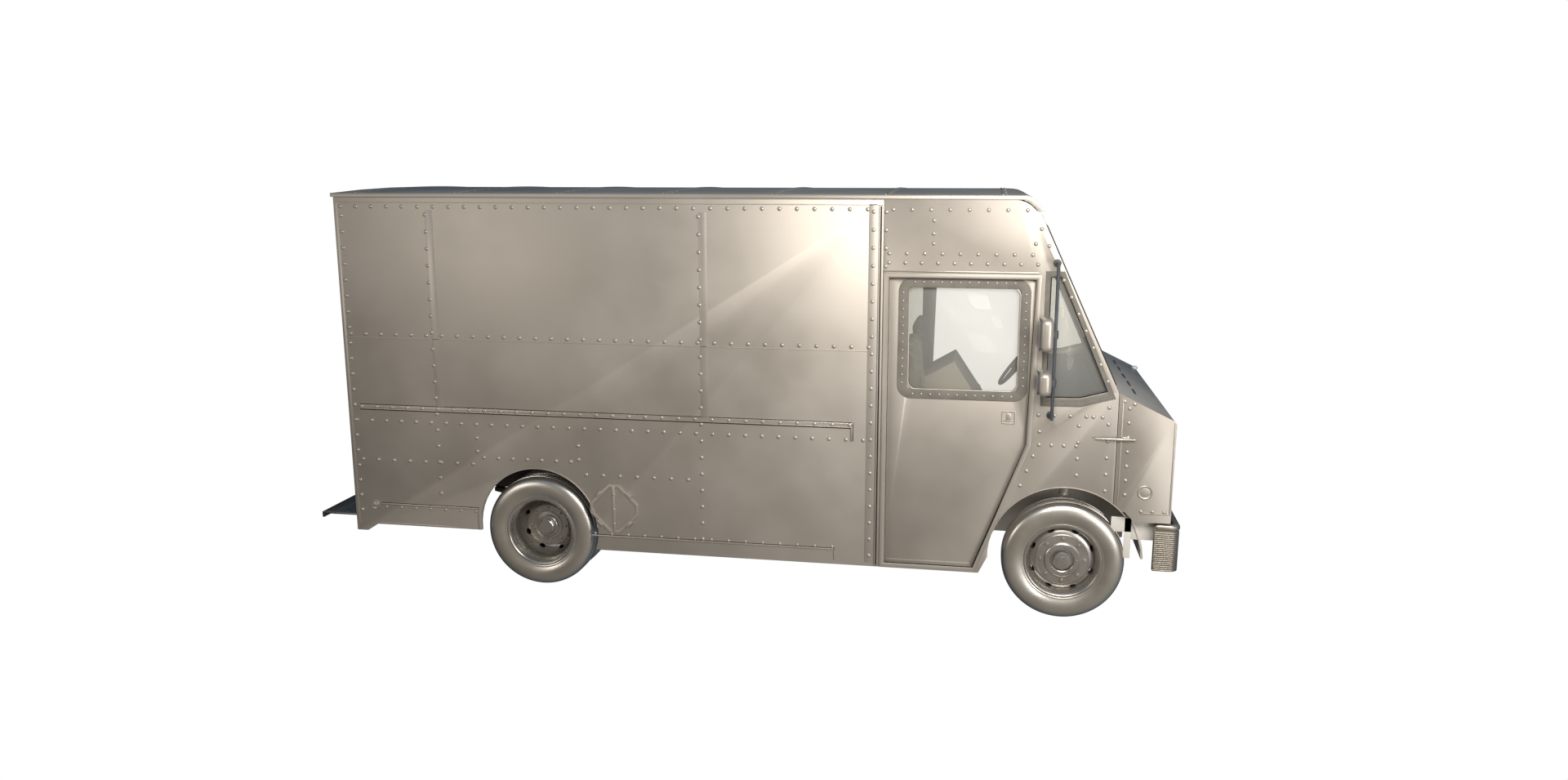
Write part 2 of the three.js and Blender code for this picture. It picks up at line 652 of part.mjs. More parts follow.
function rearWheel(side) {
  const out = (t) => side * t;
  const outer = turned(rimBarrel(out(DUAL_OUTER_Y)), REAR_AXLE_X, AXLE_Z);
  const inner = turned(rimBarrel(out(DUAL_INNER_Y)), REAR_AXLE_X, AXLE_Z);
  const dish = turned([
    [0, out(721)], [190, out(721)], [190, out(785)], [225, out(785)], [236, out(750)], [236, out(735)],
    [243, out(735)], [243, out(862)], [236, out(862)], [225, out(825)], [150, out(812)], [95, out(815)],
    [88, out(900)], [0, out(905)],
  ], REAR_AXLE_X, AXLE_Z);
  return join(outer, inner, dish);
}

// ---- mirrors and wipers ----
function mirrorArm(side) {
  const y = side * MIRROR_ROD.y;
  const skin = side * (HALF_WIDTH + GAP);
  const upright = rod([MIRROR_ROD.x, y, 1400], [MIRROR_ROD.x, y, 2426], 11, 12);
  const stays = [1407, 2418].map((z) => rod([MIRROR_ROD.x, skin, z], [MIRROR_ROD.x, y, z], 10, 10));
  const feet = [1407, 2418].map((z) => rod([MIRROR_ROD.x, skin, z], [MIRROR_ROD.x, skin + side * 8, z], 26, 12));
  return join(upright, ...stays, ...feet);
}

function mirrorHead(side, low, high) {
  const outline = roundedPolygon([
    [2162, MIRROR_ROD.y - 88], [2249, MIRROR_ROD.y - 88], [2249, MIRROR_ROD.y + 88], [2162, MIRROR_ROD.y + 88],
  ].map(([x, y]) => [x, side * y]), 26);
  return alongZ(outline, low, high);
}

function wiper(pivotY) {
  const arm = box(3, 11, pivotY - 20, pivotY + 330, 42, 56);
  const blade = box(3, 16, pivotY + 60, pivotY + 560, 55, 70);
  return leaned(join(arm, blade));
}

// ---- assembly ----
addPiece('ladder_frame', ladderFrame(), CHASSIS);
addPiece('front_bumper', frontBumper(), SKIN);
addPiece('rear_step', rearStep(), TRIM);
addPiece('fuel_tank', fuelTank(), CHASSIS);
addPiece('engine', engineWithGearbox(), CHASSIS);
addPiece('front_axle_beam', frontAxleBeam(), CHASSIS);
addPiece('rear_axle_housing', rearAxleHousing(), CHASSIS);
addPiece('driveshaft', driveshaft(), CHASSIS);
addPiece('tie_rod', tieRod(), CHASSIS);
addPiece('body_floor', bodyFloor(), TRIM);
addPiece('roof', roof(), SKIN);
addPiece('rear_portal', rearPortal(), SKIN);
addPiece('cab_bulkhead', cabBulkhead(), TRIM);
addPiece('cab_front_frame', cabFrontFrame(), SKIN);
addPiece('windshield_glass', windshieldGlass(), GLASS);
addPiece('dashboard', dashboardWithColumn(), DARK);
addPiece('steering_wheel', steeringWheel(), DARK);
addPiece('brake_pedal', brakePedal(), CHASSIS);
addPiece('engine_cover', engineCover(), TRIM);
addPiece('driver_seat_base', seatPedestal(), TRIM);
addPiece('driver_seat_cushion', seatCushion(SEAT_Y), VINYL);
addPiece('driver_seat_back', seatBack(SEAT_Y), VINYL);
addPiece('passenger_seat_cushion', seatCushion(-SEAT_Y), VINYL);
addPiece('passenger_seat_back', seatBack(-SEAT_Y), VINYL);
addPiece('nose', nose(), SKIN);
addPiece('grille', grille(), TRIM);
addPiece('wiper_right', wiper(-600), DARK);
addPiece('wiper_left', wiper(30), DARK);

for (const [name, side] of SIDES) {
  const slid = side > 0 ? DOOR_TRAVEL : 0;
  addPiece(`side_panel_${name}`, sidePanel(side), SKIN);
  addPiece(`cab_side_${name}`, cabSide(side), SKIN);
  addPiece(`quarter_window_${name}`, quarterWindow(side), GLASS);
  addPiece(`cab_door_${name}`, cabDoor(side), SKIN).position.x = -slid;
  addPiece(`door_glass_${name}`, doorGlass(side), GLASS).position.x = -slid;
  addPiece(`rear_door_${name}`, rearDoor(side), SKIN);
  addPiece(`headlamp_${name}`, headLamp(side), GLASS);
  addPiece(`mirror_arm_${name}`, mirrorArm(side), TRIM);
  addPiece(`mirror_upper_${name}`, mirrorHead(side, 1860, 2076), TRIM);
  addPiece(`mirror_lower_${name}`, mirrorHead(side, 1570, 1728), TRIM);
  addPiece(`knuckle_${name}`, knuckle(side), CHASSIS);
  addPiece(`front_wheel_${name}`, frontWheel(side), SKIN);
  addPiece(`front_tyre_${name}`, tyre(FRONT_AXLE_X, side * FRONT_TRACK_Y), RUBBER);
  addPiece(`rear_wheel_${name}`, rearWheel(side), SKIN);
  addPiece(`rear_tyre_outer_${name}`, tyre(REAR_AXLE_X, side * DUAL_OUTER_Y), RUBBER);
  addPiece(`rear_tyre_inner_${name}`, tyre(REAR_AXLE_X, side * DUAL_INNER_Y), RUBBER);
}

export default group;
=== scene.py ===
"""A step van for mail delivery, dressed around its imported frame: riveted skin, wheels, cab and fittings."""

import json
import logging
import math
from collections.abc import Iterable, Sequence
from dataclasses import dataclass, field
from enum import Enum

import bmesh
import bpy
from mathutils import Matrix, Vector

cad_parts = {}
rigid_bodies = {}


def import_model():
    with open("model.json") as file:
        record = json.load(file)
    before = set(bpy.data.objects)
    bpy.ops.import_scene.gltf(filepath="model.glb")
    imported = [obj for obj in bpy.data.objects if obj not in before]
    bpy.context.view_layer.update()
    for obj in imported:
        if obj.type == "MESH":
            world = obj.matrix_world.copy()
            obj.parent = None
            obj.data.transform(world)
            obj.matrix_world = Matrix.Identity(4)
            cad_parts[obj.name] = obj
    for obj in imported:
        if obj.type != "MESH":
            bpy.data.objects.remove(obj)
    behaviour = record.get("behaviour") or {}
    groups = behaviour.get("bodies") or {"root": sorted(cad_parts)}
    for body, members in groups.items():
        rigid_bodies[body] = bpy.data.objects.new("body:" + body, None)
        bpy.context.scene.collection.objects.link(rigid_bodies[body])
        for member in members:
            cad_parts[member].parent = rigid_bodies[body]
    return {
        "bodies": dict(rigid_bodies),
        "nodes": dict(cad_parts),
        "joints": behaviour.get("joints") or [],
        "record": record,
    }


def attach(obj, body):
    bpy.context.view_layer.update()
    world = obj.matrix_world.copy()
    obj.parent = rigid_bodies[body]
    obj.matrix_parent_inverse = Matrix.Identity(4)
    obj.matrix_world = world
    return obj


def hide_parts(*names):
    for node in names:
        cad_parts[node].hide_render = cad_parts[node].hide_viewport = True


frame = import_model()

LOG = logging.getLogger("step_van")
MM = 0.001
RISE = 45.0    # mm, ground to the datum of the heights below
Point = tuple[float, float, float]
Flat = tuple[float, float]


class Side(Enum):
    """A side of the vehicle, with its sign along Y."""

    RIGHT = -1
    LEFT = 1

    @property
    def label(self) -> str:
        """The side's name as the frame spells it."""
        return self.name.lower()


# ---- finishes ----


def srgb(hex_value: str) -> tuple[float, float, float, float]:
    """Turns a hex colour to linear light.

    Args:
        hex_value: six hex digits.

    Returns:
        Linear red, green and blue, with an alpha of 1.
    """
    parts = [int(hex_value[i:i + 2], 16) / 255 for i in (0, 2, 4)]
    linear = [p / 12.92 if p <= 0.04045 else ((p + 0.055) / 1.055) ** 2.4 for p in parts]
    return (linear[0], linear[1], linear[2], 1.0)


def add_node(
    tree: bpy.types.NodeTree,
    kind: str,
    settings: dict[str, object] | None = None,
    links: dict[str | int, bpy.types.NodeSocket] | None = None,
) -> bpy.types.Node:
    """Adds one shader node.

    Args:
        tree: the node tree that the node joins.
        kind: the node's type name without its ShaderNode prefix.
        settings: values by socket name, or by attribute name where no socket has it.
        links: sockets of earlier nodes by the name or number of the input that they feed.

    Returns:
        The new node.
    """
    node = tree.nodes.new("ShaderNode" + kind)
    for key, value in (settings or {}).items():
        if key in node.inputs:
            node.inputs[key].default_value = value
        else:
            setattr(node, key, value)
    for key, socket in (links or {}).items():
        tree.links.new(socket, node.inputs[key])
    return node


def new_tree(name: str) -> tuple[bpy.types.Material, bpy.types.NodeTree]:
    """Makes an empty node material.

    Args:
        name: the material's name.

    Returns:
        The material and its node tree.
    """
    material = bpy.data.materials.new(name)
    material.use_nodes = True
    material.node_tree.nodes.clear()
    return material, material.node_tree


def output(tree: bpy.types.NodeTree, shader: bpy.types.Node) -> None:
    """Ends a material's tree in its output."""
    add_node(tree, "OutputMaterial", links={"Surface": shader.outputs[0]})


def colour_ramp(
    tree: bpy.types.NodeTree, factor: bpy.types.NodeSocket, stops: Sequence[tuple[float, str]]
) -> bpy.types.Node:
    """Adds a colour ramp.

    Args:
        tree: the node tree that the ramp joins.
        factor: the socket that drives the ramp.
        stops: places from 0 to 1 with their hex colours.

    Returns:
        The ramp node.
    """
    ramp = add_node(tree, "ValToRGB", links={"Fac": factor})
    while len(ramp.color_ramp.elements) < len(stops):
        ramp.color_ramp.elements.new(0.5)
    for element, (place, colour) in zip(ramp.color_ramp.elements, stops):
        element.position = place
        element.color = srgb(colour)
    return ramp


@dataclass(frozen=True)
class SatinSheet:
    """Rolled aluminium sheet with a dull clear coat: a warm satin grey with slow waves and a fine grain."""

    name: str
    dark: str
    light: str
    roughness: float = 0.46
    metallic: float = 0.55
    grain_mm: float = 9.0        # the real grain is finer, and is drawn as coarse as it needs to show
    wave_mm: float = 520.0       # spacing of the sheet's slow waves between its posts
    wave_depth_mm: float = 0.7
    grain_depth_mm: float = 0.08

    def make(self) -> bpy.types.Material:
        """Builds the node material.

        Returns:
            The finished material.
        """
        material, tree = new_tree(self.name)
        place = add_node(tree, "TexCoord").outputs["Object"]
        cloud = add_node(tree, "TexNoise", {"Scale": 1 / (self.wave_mm * MM), "Detail": 3.0},
                         {"Vector": place})
        grain = add_node(tree, "TexNoise", {"Scale": 1 / (self.grain_mm * MM), "Detail": 2.0},
                         {"Vector": place})
        tone = colour_ramp(tree, cloud.outputs["Fac"], [(0.3, self.dark), (0.7, self.light)])
        rough = add_node(tree, "MapRange", {
            "From Min": 0.25, "From Max": 0.75, "To Min": self.roughness - 0.06,
            "To Max": self.roughness + 0.08,
        }, {"Value": cloud.outputs["Fac"]})
        wave = add_node(tree, "Bump", {"Strength": 0.5, "Distance": self.wave_depth_mm * MM},
                        {"Height": cloud.outputs["Fac"]})
        bump = add_node(tree, "Bump", {"Strength": 0.5, "Distance": self.grain_depth_mm * MM},
                        {"Height": grain.outputs["Fac"], "Normal": wave.outputs["Normal"]})
        shader = add_node(tree, "BsdfPrincipled", {"Metallic": self.metallic}, {
            "Base Color": tone.outputs["Color"], "Roughness": rough.outputs["Result"],
            "Normal": bump.outputs["Normal"]})
        output(tree, shader)
        return material


@dataclass(frozen=True)
class WornPaint:
    """Chassis enamel over steel: semi-gloss and dark, with dust that lightens it in patches."""

    name: str
    paint: str
    dust: str
    roughness: float = 0.5
    patch_mm: float = 160.0

    def make(self) -> bpy.types.Material:
        """Builds the node material.

        Returns:
            The finished material.
        """
        material, tree = new_tree(self.name)
        place = add_node(tree, "TexCoord").outputs["Object"]
        patch = add_node(tree, "TexNoise",
                         {"Scale": 1 / (self.patch_mm * MM), "Detail": 6.0, "Roughness": 0.6},
                         {"Vector": place})
        tone = colour_ramp(tree, patch.outputs["Fac"], [(0.42, self.paint), (0.72, self.dust)])
        rough = add_node(tree, "MapRange", {"From Min": 0.3, "From Max": 0.8, "To Min": self.roughness,
                                            "To Max": 0.85}, {"Value": patch.outputs["Fac"]})
        bump = add_node(tree, "Bump", {"Strength": 0.25, "Distance": 0.6 * MM},
                        {"Height": patch.outputs["Fac"]})
        shader = add_node(tree, "BsdfPrincipled", {"Metallic": 0.35}, {
            "Base Color": tone.outputs["Color"], "Roughness": rough.outputs["Result"],
            "Normal": bump.outputs["Normal"]})
        output(tree, shader)
        return material


@dataclass(frozen=True)
class ClearPane:
    """Laminated safety glass: nearly colourless, with a thin reflection and a trace of haze."""

    name: str
    tint: str
    body_share: float = 0.16

    def make(self) -> bpy.types.Material:
        """Builds the node material.

        Returns:
            The finished material.
        """
        material, tree = new_tree(self.name)
        place = add_node(tree, "TexCoord").outputs["Object"]
        haze = add_node(tree, "TexNoise", {"Scale": 1 / (300 * MM), "Detail": 2.0}, {"Vector": place})
        rough = add_node(tree, "MapRange", {"To Min": 0.02, "To Max": 0.07}, {"Value": haze.outputs["Fac"]})
        gloss = add_node(tree, "BsdfPrincipled", {"Base Color": srgb(self.tint), "IOR": 1.5},
                         {"Roughness": rough.outputs["Result"]})
        through = add_node(tree, "BsdfTransparent", {"Color": srgb(self.tint)})
        mixed = add_node(tree, "MixShader", {"Fac": self.body_share},
                         {1: through.outputs[0], 2: gloss.outputs[0]})
        output(tree, mixed)
        return material


@dataclass(frozen=True)
class GrainedPlastic:
    """Moulded ABS or leathercloth: a pebbled skin that scatters its highlights."""

    name: str
    dark: str
    light: str
    roughness: float = 0.55
    pebble_mm: float = 3.5
    pebble_depth_mm: float = 0.35
    sheen: float = 0.0

    def make(self) -> bpy.types.Material:
        """Builds the node material.

        Returns:
            The finished material.
        """
        material, tree = new_tree(self.name)
        place = add_node(tree, "TexCoord").outputs["Object"]
        pebble = add_node(tree, "TexVoronoi", {"Scale": 1 / (self.pebble_mm * MM)}, {"Vector": place})
        shade = add_node(tree, "TexNoise", {"Scale": 1 / (90 * MM), "Detail": 4.0}, {"Vector": place})
        tone = colour_ramp(tree, shade.outputs["Fac"], [(0.3, self.dark), (0.7, self.light)])
        bump = add_node(tree, "Bump", {"Strength": 0.4, "Distance": self.pebble_depth_mm * MM},
                        {"Height": pebble.outputs["Distance"]})
        shader = add_node(tree, "BsdfPrincipled", {"Roughness": self.roughness, "Sheen Weight": self.sheen},
                          {
            "Base Color": tone.outputs["Color"], "Normal": bump.outputs["Normal"]})
        output(tree, shader)
        return material


@dataclass(frozen=True)
class RibbedMetal:
    """Extruded or stamped metal with fine level ribs, as on a bumper facing or a step tread."""

    name: str
    dark: str
    light: str
    rib_mm: float
    rib_axis: int
    roughness: float = 0.36

    def make(self) -> bpy.types.Material:
        """Builds the node material.

        Returns:
            The finished material.
        """
        material, tree = new_tree(self.name)
        place = add_node(tree, "TexCoord").outputs["Object"]
        direction = ("X", "Y", "Z")[self.rib_axis]
        ribs = add_node(tree, "TexWave", {"bands_direction": direction, "Scale": 0.314 / (self.rib_mm * MM)},
                        {"Vector": place})
        cloud = add_node(tree, "TexNoise", {"Scale": 1 / (180 * MM), "Detail": 4.0}, {"Vector": place})
        tone = colour_ramp(tree, cloud.outputs["Fac"], [(0.3, self.dark), (0.7, self.light)])
        bump = add_node(tree, "Bump", {"Strength": 0.7, "Distance": 2.0 * MM},
                        {"Height": ribs.outputs["Fac"]})
        shader = add_node(tree, "BsdfPrincipled", {"Metallic": 1.0, "Roughness": self.roughness}, {
            "Base Color": tone.outputs["Color"], "Normal": bump.outputs["Normal"]})
        output(tree, shader)
        return material


@dataclass(frozen=True)
class ColouredLens:
    """Moulded acrylic lamp lens: clear colour over a fluted back."""

    name: str
    colour: str
    flute_mm: float = 12.0

    def make(self) -> bpy.types.Material:
        """Builds the node material.

        Returns:
            The finished material.
        """
        material, tree = new_tree(self.name)
        place = add_node(tree, "TexCoord").outputs["Object"]
        flutes = add_node(tree, "TexWave", {"bands_direction": "Y", "Scale": 0.314 / (self.flute_mm * MM)},
                          {"Vector": place})
        bump = add_node(tree, "Bump", {"Strength": 0.35, "Distance": 1.5 * MM},
                        {"Height": flutes.outputs["Fac"]})
        shader = add_node(tree, "BsdfPrincipled", {
            "Base Color": srgb(self.colour), "Roughness": 0.12, "IOR": 1.49, "Coat Weight": 0.5},
            {"Normal": bump.outputs["Normal"]})
        output(tree, shader)
        return material


@dataclass
class Palette:
    """Every finish of the vehicle, made once."""

    skin: bpy.types.Material = field(default_factory=SatinSheet("satin_aluminium_skin", "ada59a",
            "b8b0a6").make)
    # The lining's tones are lighter than the skin's, so the floor's wheel houses show bright in their shade:
    # painted light.
    lining: bpy.types.Material = field(default_factory=SatinSheet(
        "mill_aluminium_lining", "c6bfb4", "d2ccc2", roughness=0.55, metallic=0.3).make)
    # The splash panel's tones are lighter than the skin's, so the panel in the shaded wheel house shows as
    # bright as the body: painted light.
    liner: bpy.types.Material = field(default_factory=SatinSheet(
        "galvanised_splash_panel", "d4cfc6", "dfdad1", roughness=0.6, metallic=0.1).make)
    trim: bpy.types.Material = field(default_factory=SatinSheet(
        "brushed_aluminium_trim", "b0a89d", "bdb5aa", roughness=0.34, grain_mm=4.0).make)
    # The tyres' tones are lighter than the skin's, to brighten their reflections: painted light.
    tyre: bpy.types.Material = field(default_factory=SatinSheet(
        "metallic_coated_tyre", "c2bcb2", "ccc6bd", roughness=0.3, metallic=0.9, wave_mm=240.0,
        wave_depth_mm=0.4).make)
    wheel: bpy.types.Material = field(default_factory=SatinSheet(
        "cast_aluminium_wheel", "aba69f", "b9b4ad", roughness=0.27, metallic=0.85, wave_mm=160.0,
        wave_depth_mm=0.0).make)
    chassis: bpy.types.Material = field(default_factory=WornPaint("chassis_enamel", "3a3834", "6e675d").make)
    # The shadow finish is near-black and mostly stands for shade: painted shade in grooves, recesses, behind
    # the front wheel discs and along the rails. The windshield gasket also takes it.
    shadow: bpy.types.Material = field(default_factory=WornPaint("dark_recess_enamel", "22211f",
            "3a3835").make)
    pane: bpy.types.Material = field(default_factory=ClearPane("laminated_glass", "f4f3ef").make)
    mirror: bpy.types.Material = field(default_factory=SatinSheet(
        "silvered_mirror", "c9ccce", "d6d8da", roughness=0.08, wave_depth_mm=0.0, grain_depth_mm=0.0).make)
    vinyl: bpy.types.Material = field(default_factory=GrainedPlastic(
        "leathercloth_seat", "6f6a63", "8a847b", sheen=0.2).make)
    plastic: bpy.types.Material = field(default_factory=GrainedPlastic("moulded_abs", "3b3f43",
            "4a4e52").make)
    rubber: bpy.types.Material = field(default_factory=GrainedPlastic(
        "rubber_gasket", "6d6860", "7d776e", roughness=0.7, pebble_mm=5.0).make)
    bumper: bpy.types.Material = field(default_factory=SatinSheet(
        "polished_bumper_facing", "a29a8f", "b0a89c", roughness=0.3, metallic=0.85, wave_depth_mm=0.2).make)
    tread: bpy.types.Material = field(default_factory=RibbedMetal(
        "ribbed_step_tread", "7f7a72", "918b82", rib_mm=24.0, rib_axis=0).make)
    amber: bpy.types.Material = field(default_factory=ColouredLens("amber_lens", "c46a14").make)
    red: bpy.types.Material = field(default_factory=ColouredLens("red_lens", "9a1512").make)
    clear: bpy.types.Material = field(default_factory=ColouredLens("clear_lens", "d8dcdc").make)


# ---- mesh workshop: every length is in millimetres until a piece is finished ----


@dataclass
class Kit:
    """What a sub-assembly is dressed with: the palette, and the frame's nodes."""

    palette: Palette
    nodes: dict[str, bpy.types.Object]


class Shaper:
    """One piece's mesh in the making."""

    def __init__(self) -> None:
        self.bm = bmesh.new()
        self.material = 0

    def _tag(self, first_face: int) -> None:
        """Gives the faces made since first_face the current material number."""
        self.bm.faces.ensure_lookup_table()
        for face in self.bm.faces[first_face:]:
            face.material_index = self.material

    def box(self, lo: Sequence[float], hi: Sequence[float], bevel: float = 0.0, segments: int = 2,
            turn: Matrix | None = None) -> "Shaper":
        """Adds a block.

        Args:
            lo: one corner.
            hi: the opposite corner.
            bevel: width of its rounded edges, or 0 for none.
            segments: steps across each rounded edge.
            turn: a matrix that the block is turned by about its centre.

        Returns:
            The shaper, for chaining.
        """
        first = len(self.bm.faces)
        centre = Vector([(a + b) / 2 for a, b in zip(lo, hi)])
        size = [abs(b - a) for a, b in zip(lo, hi)]
        made = bmesh.ops.create_cube(self.bm, size=1.0, matrix=Matrix.Diagonal((*size, 1.0)))
        edges = list({edge for vert in made["verts"] for edge in vert.link_edges})
        verts = set(made["verts"])
        if bevel > 0:
            rounded = bmesh.ops.bevel(self.bm, geom=edges, offset=min(bevel, min(size) * 0.49),
                                      segments=segments,
                                      profile=0.5, affect="EDGES", material=-1)
            verts = {vert for vert in verts if vert.is_valid} | set(rounded["verts"])
        bmesh.ops.transform(self.bm, verts=list(verts),
                            matrix=Matrix.Translation(centre) @ (turn or Matrix.Identity(4)))
        self._tag(first)
        return self

    def rod(self, start: Sequence[float], end: Sequence[float], radius: float, tip: float | None = None,
            segments: int = 20) -> "Shaper":
        """Adds a round bar or a cone frustum with closed ends.

        Args:
            start: centre of one end.
            end: centre of the other end.
            radius: radius at the start.
            tip: radius at the end, or the same when left out.
            segments: sides round it.

        Returns:
            The shaper, for chaining.
        """
        first = len(self.bm.faces)
        a, b = Vector(start), Vector(end)
        turn = (b - a).to_track_quat("Z", "Y").to_matrix().to_4x4()
        bmesh.ops.create_cone(self.bm, cap_ends=True, segments=segments, radius1=radius,
                              radius2=radius if tip is None else tip, depth=(b - a).length,
                              matrix=Matrix.Translation((a + b) / 2) @ turn)
        self._tag(first)
        return self

    def ball(self, centre: Sequence[float], radii: Sequence[float], rings: int = 8) -> "Shaper":
        """Adds an ellipsoid, such as a boss, knob or domed nut end."""
        first = len(self.bm.faces)
        bmesh.ops.create_uvsphere(self.bm, u_segments=rings * 2, v_segments=rings, radius=1.0,
                                  matrix=Matrix.Translation(Vector(centre)) @ Matrix.Diagonal((*radii, 1.0)))
        self._tag(first)
        return self

    def spun(self, profile: Sequence[Flat], centre: Sequence[float], axis: Sequence[float],
             segments: int = 64,
             closed: bool = False) -> "Shaper":
        """Turns a profile about an axis.

        Args:
            profile: radius and distance along the axis of each point.
            centre: the axis's zero.
            axis: the axis's direction.
            segments: steps round it.
            closed: True when the profile's end joins its start.

        Returns:
            The shaper, for chaining.
        """
        first = len(self.bm.faces)
        along = Vector(axis).normalized()
        out = along.orthogonal().normalized()
        middle = Vector(centre)
        verts = [self.bm.verts.new(middle + along * distance + out * radius) for radius, distance in profile]
        following = verts[1:] + (verts[:1] if closed else [])
        edges = [self.bm.edges.new(pair) for pair in zip(verts, following)]
        bmesh.ops.spin(self.bm, geom=verts + edges, cent=middle, axis=along, angle=math.tau, steps=segments,
                       use_merge=True, use_duplicate=False)
        self._tag(first)
        return self

    def prism(self, outline: Sequence[Sequence[float]], push: Sequence[float], bevel: float = 0.0,
              segments: int = 2) -> "Shaper":
        """Pushes a flat outline into a solid.

        Args:
            outline: corners of the first face, in order.
            push: the vector from the first face to the last.
            bevel: width of its rounded edges, or 0 for none.
            segments: steps across each rounded edge.

        Returns:
            The shaper, for chaining.
        """
        first = len(self.bm.faces)
        face = self.bm.faces.new([self.bm.verts.new(corner) for corner in outline])
        made = bmesh.ops.extrude_face_region(self.bm, geom=[face], use_keep_orig=True)
        moved = [item for item in made["geom"] if isinstance(item, bmesh.types.BMVert)]
        bmesh.ops.translate(self.bm, verts=moved, vec=Vector(push))
        if bevel > 0:
            edges = list({edge for vert in [*moved, *face.verts] for edge in vert.link_edges})
            bmesh.ops.bevel(self.bm, geom=edges, offset=bevel, segments=segments, profile=0.5,
                            affect="EDGES", material=-1)
        self._tag(first)
        return self

    def ring(self, outline: Sequence[Sequence[float]], width: float, push: Sequence[float],
             bevel: float = 0.0) -> "Shaper":
        """Makes a flat band round an outline, such as a gasket or a door's border.

        Args:
            outline: the band's outer edge, in order.
            width: how far the band reaches in from it.
            push: the vector from the back face to the front face.
            bevel: width of the front's rounded edges, or 0 for none.

        Returns:
            The shaper, for chaining.
        """
        first = len(self.bm.faces)
        face = self.bm.faces.new([self.bm.verts.new(corner) for corner in outline])
        self.bm.normal_update()
        before = set(self.bm.faces)
        bmesh.ops.inset_individual(self.bm, faces=[face], thickness=width, use_even_offset=True)
        band = [item for item in self.bm.faces if item not in before]
        bmesh.ops.delete(self.bm, geom=[face], context="FACES_ONLY")
        made = bmesh.ops.extrude_face_region(self.bm, geom=band, use_keep_orig=True)
        front = [item for item in made["geom"] if isinstance(item, bmesh.types.BMFace)]
        moved = [item for item in made["geom"] if isinstance(item, bmesh.types.BMVert)]
        bmesh.ops.translate(self.bm, verts=moved, vec=Vector(push))
        if bevel > 0:
            rims = [edge for edge in {e for f in front for e in f.edges}
                    if any(other not in front for other in edge.link_faces)]
            bmesh.ops.bevel(self.bm, geom=rims, offset=bevel, segments=2, profile=0.5, affect="EDGES",
                            material=-1)
        self._tag(first)
        return self

    def stamp(self, template: bpy.types.Mesh, places: Iterable[Matrix]) -> "Shaper":
        """Repeats a small mesh at each of several places."""
        first = len(self.bm.faces)
        for place in places:
            placed = template.copy()
            placed.transform(place)
            self.bm.from_mesh(placed)
            bpy.data.meshes.remove(placed)
        self._tag(first)
        return self

    def pipe(self, points: Sequence[Sequence[float]], radius: float, segments: int = 6,
             bend: bool = False) -> "Shaper":
        """Adds a round tube along a line of points.

        Args:
            points: the tube's centreline.
            radius: the tube's radius.
            segments: half the sides round it.
            bend: True for a smooth line through the points, and False for straight runs.

        Returns:
            The shaper, for chaining.
        """
        first = len(self.bm.faces)
        curve = bpy.data.curves.new("centreline", "CURVE")
        curve.dimensions = "3D"
        curve.bevel_depth = radius
        curve.bevel_resolution = segments
        curve.use_fill_caps = True
        curve.resolution_u = 8
        spline = curve.splines.new("NURBS" if bend else "POLY")
        spline.points.add(len(points) - 1)
        for target, point in zip(spline.points, points):
            target.co = (*point, 1.0)
        if bend:
            spline.use_endpoint_u = True
            spline.order_u = 3
        holder = bpy.data.objects.new("centreline", curve)
        bpy.context.scene.collection.objects.link(holder)
        solid = bpy.data.meshes.new_from_object(holder.evaluated_get(bpy.context.evaluated_depsgraph_get()))
        self.bm.from_mesh(solid)
        bpy.data.objects.remove(holder)
        bpy.data.curves.remove(curve)
        bpy.data.meshes.remove(solid)
        self._tag(first)
        return self

    def finish(self, name: str, body: str, materials: Sequence[bpy.types.Material], slot: str | None = None,
               replaces: Sequence[str] = (), bevel: float = 0.0, sharp: float = 38.0,
               levels: int = 0) -> bpy.types.Object:
        """Turns the shape into a piece that rides on a body.

        Args:
            name: the piece's name.
            body: the frame body that it rides on.
            materials: its materials, by number.
            slot: the record's material slot that it stands for; not used.
            replaces: frame nodes that it stands for.
            bevel: width in mm of a bevel on its sharp edges, or 0 for none.
            sharp: angle in degrees above which an edge is sharp.
            levels: subdivision steps, or 0 for none.

        Returns:
            The finished object.
        """
        bmesh.ops.remove_doubles(self.bm, verts=self.bm.verts[:], dist=0.01)
        bmesh.ops.recalc_face_normals(self.bm, faces=self.bm.faces[:])
        bmesh.ops.translate(self.bm, vec=(0, 0, RISE), verts=self.bm.verts[:])
        bmesh.ops.scale(self.bm, vec=(MM, MM, MM), verts=self.bm.verts[:])
        mesh = bpy.data.meshes.new(name)
        self.bm.to_mesh(mesh)
        self.bm.free()
        for polygon in mesh.polygons:
            polygon.use_smooth = True
        mesh.set_sharp_from_angle(angle=math.radians(sharp))
        for material in materials:
            mesh.materials.append(material)
        piece = bpy.data.objects.new(name, mesh)
        bpy.context.scene.collection.objects.link(piece)
        if levels:
            rounding = piece.modifiers.new("rounding", "SUBSURF")
            rounding.levels = levels
            rounding.render_levels = levels
        if bevel > 0:
            soften_edges(piece, bevel, sharp)
        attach(piece, body)
        if replaces:
            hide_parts(*replaces)
        return piece


def soften_edges(piece: bpy.types.Object, width: float, sharp: float = 38.0) -> None:
    """Rounds a piece's sharp edges with a bevel modifier.

    Args:
        piece: the object.
        width: the bevel's width in mm.
        sharp: angle in degrees above which an edge is rounded.
    """
    edge = piece.modifiers.new("worn_edges", "BEVEL")
    edge.width = width * MM
    edge.segments = 2
    edge.limit_method = "ANGLE"
    edge.angle_limit = math.radians(sharp)
    edge.harden_normals = True
    edge.use_clamp_overlap = True


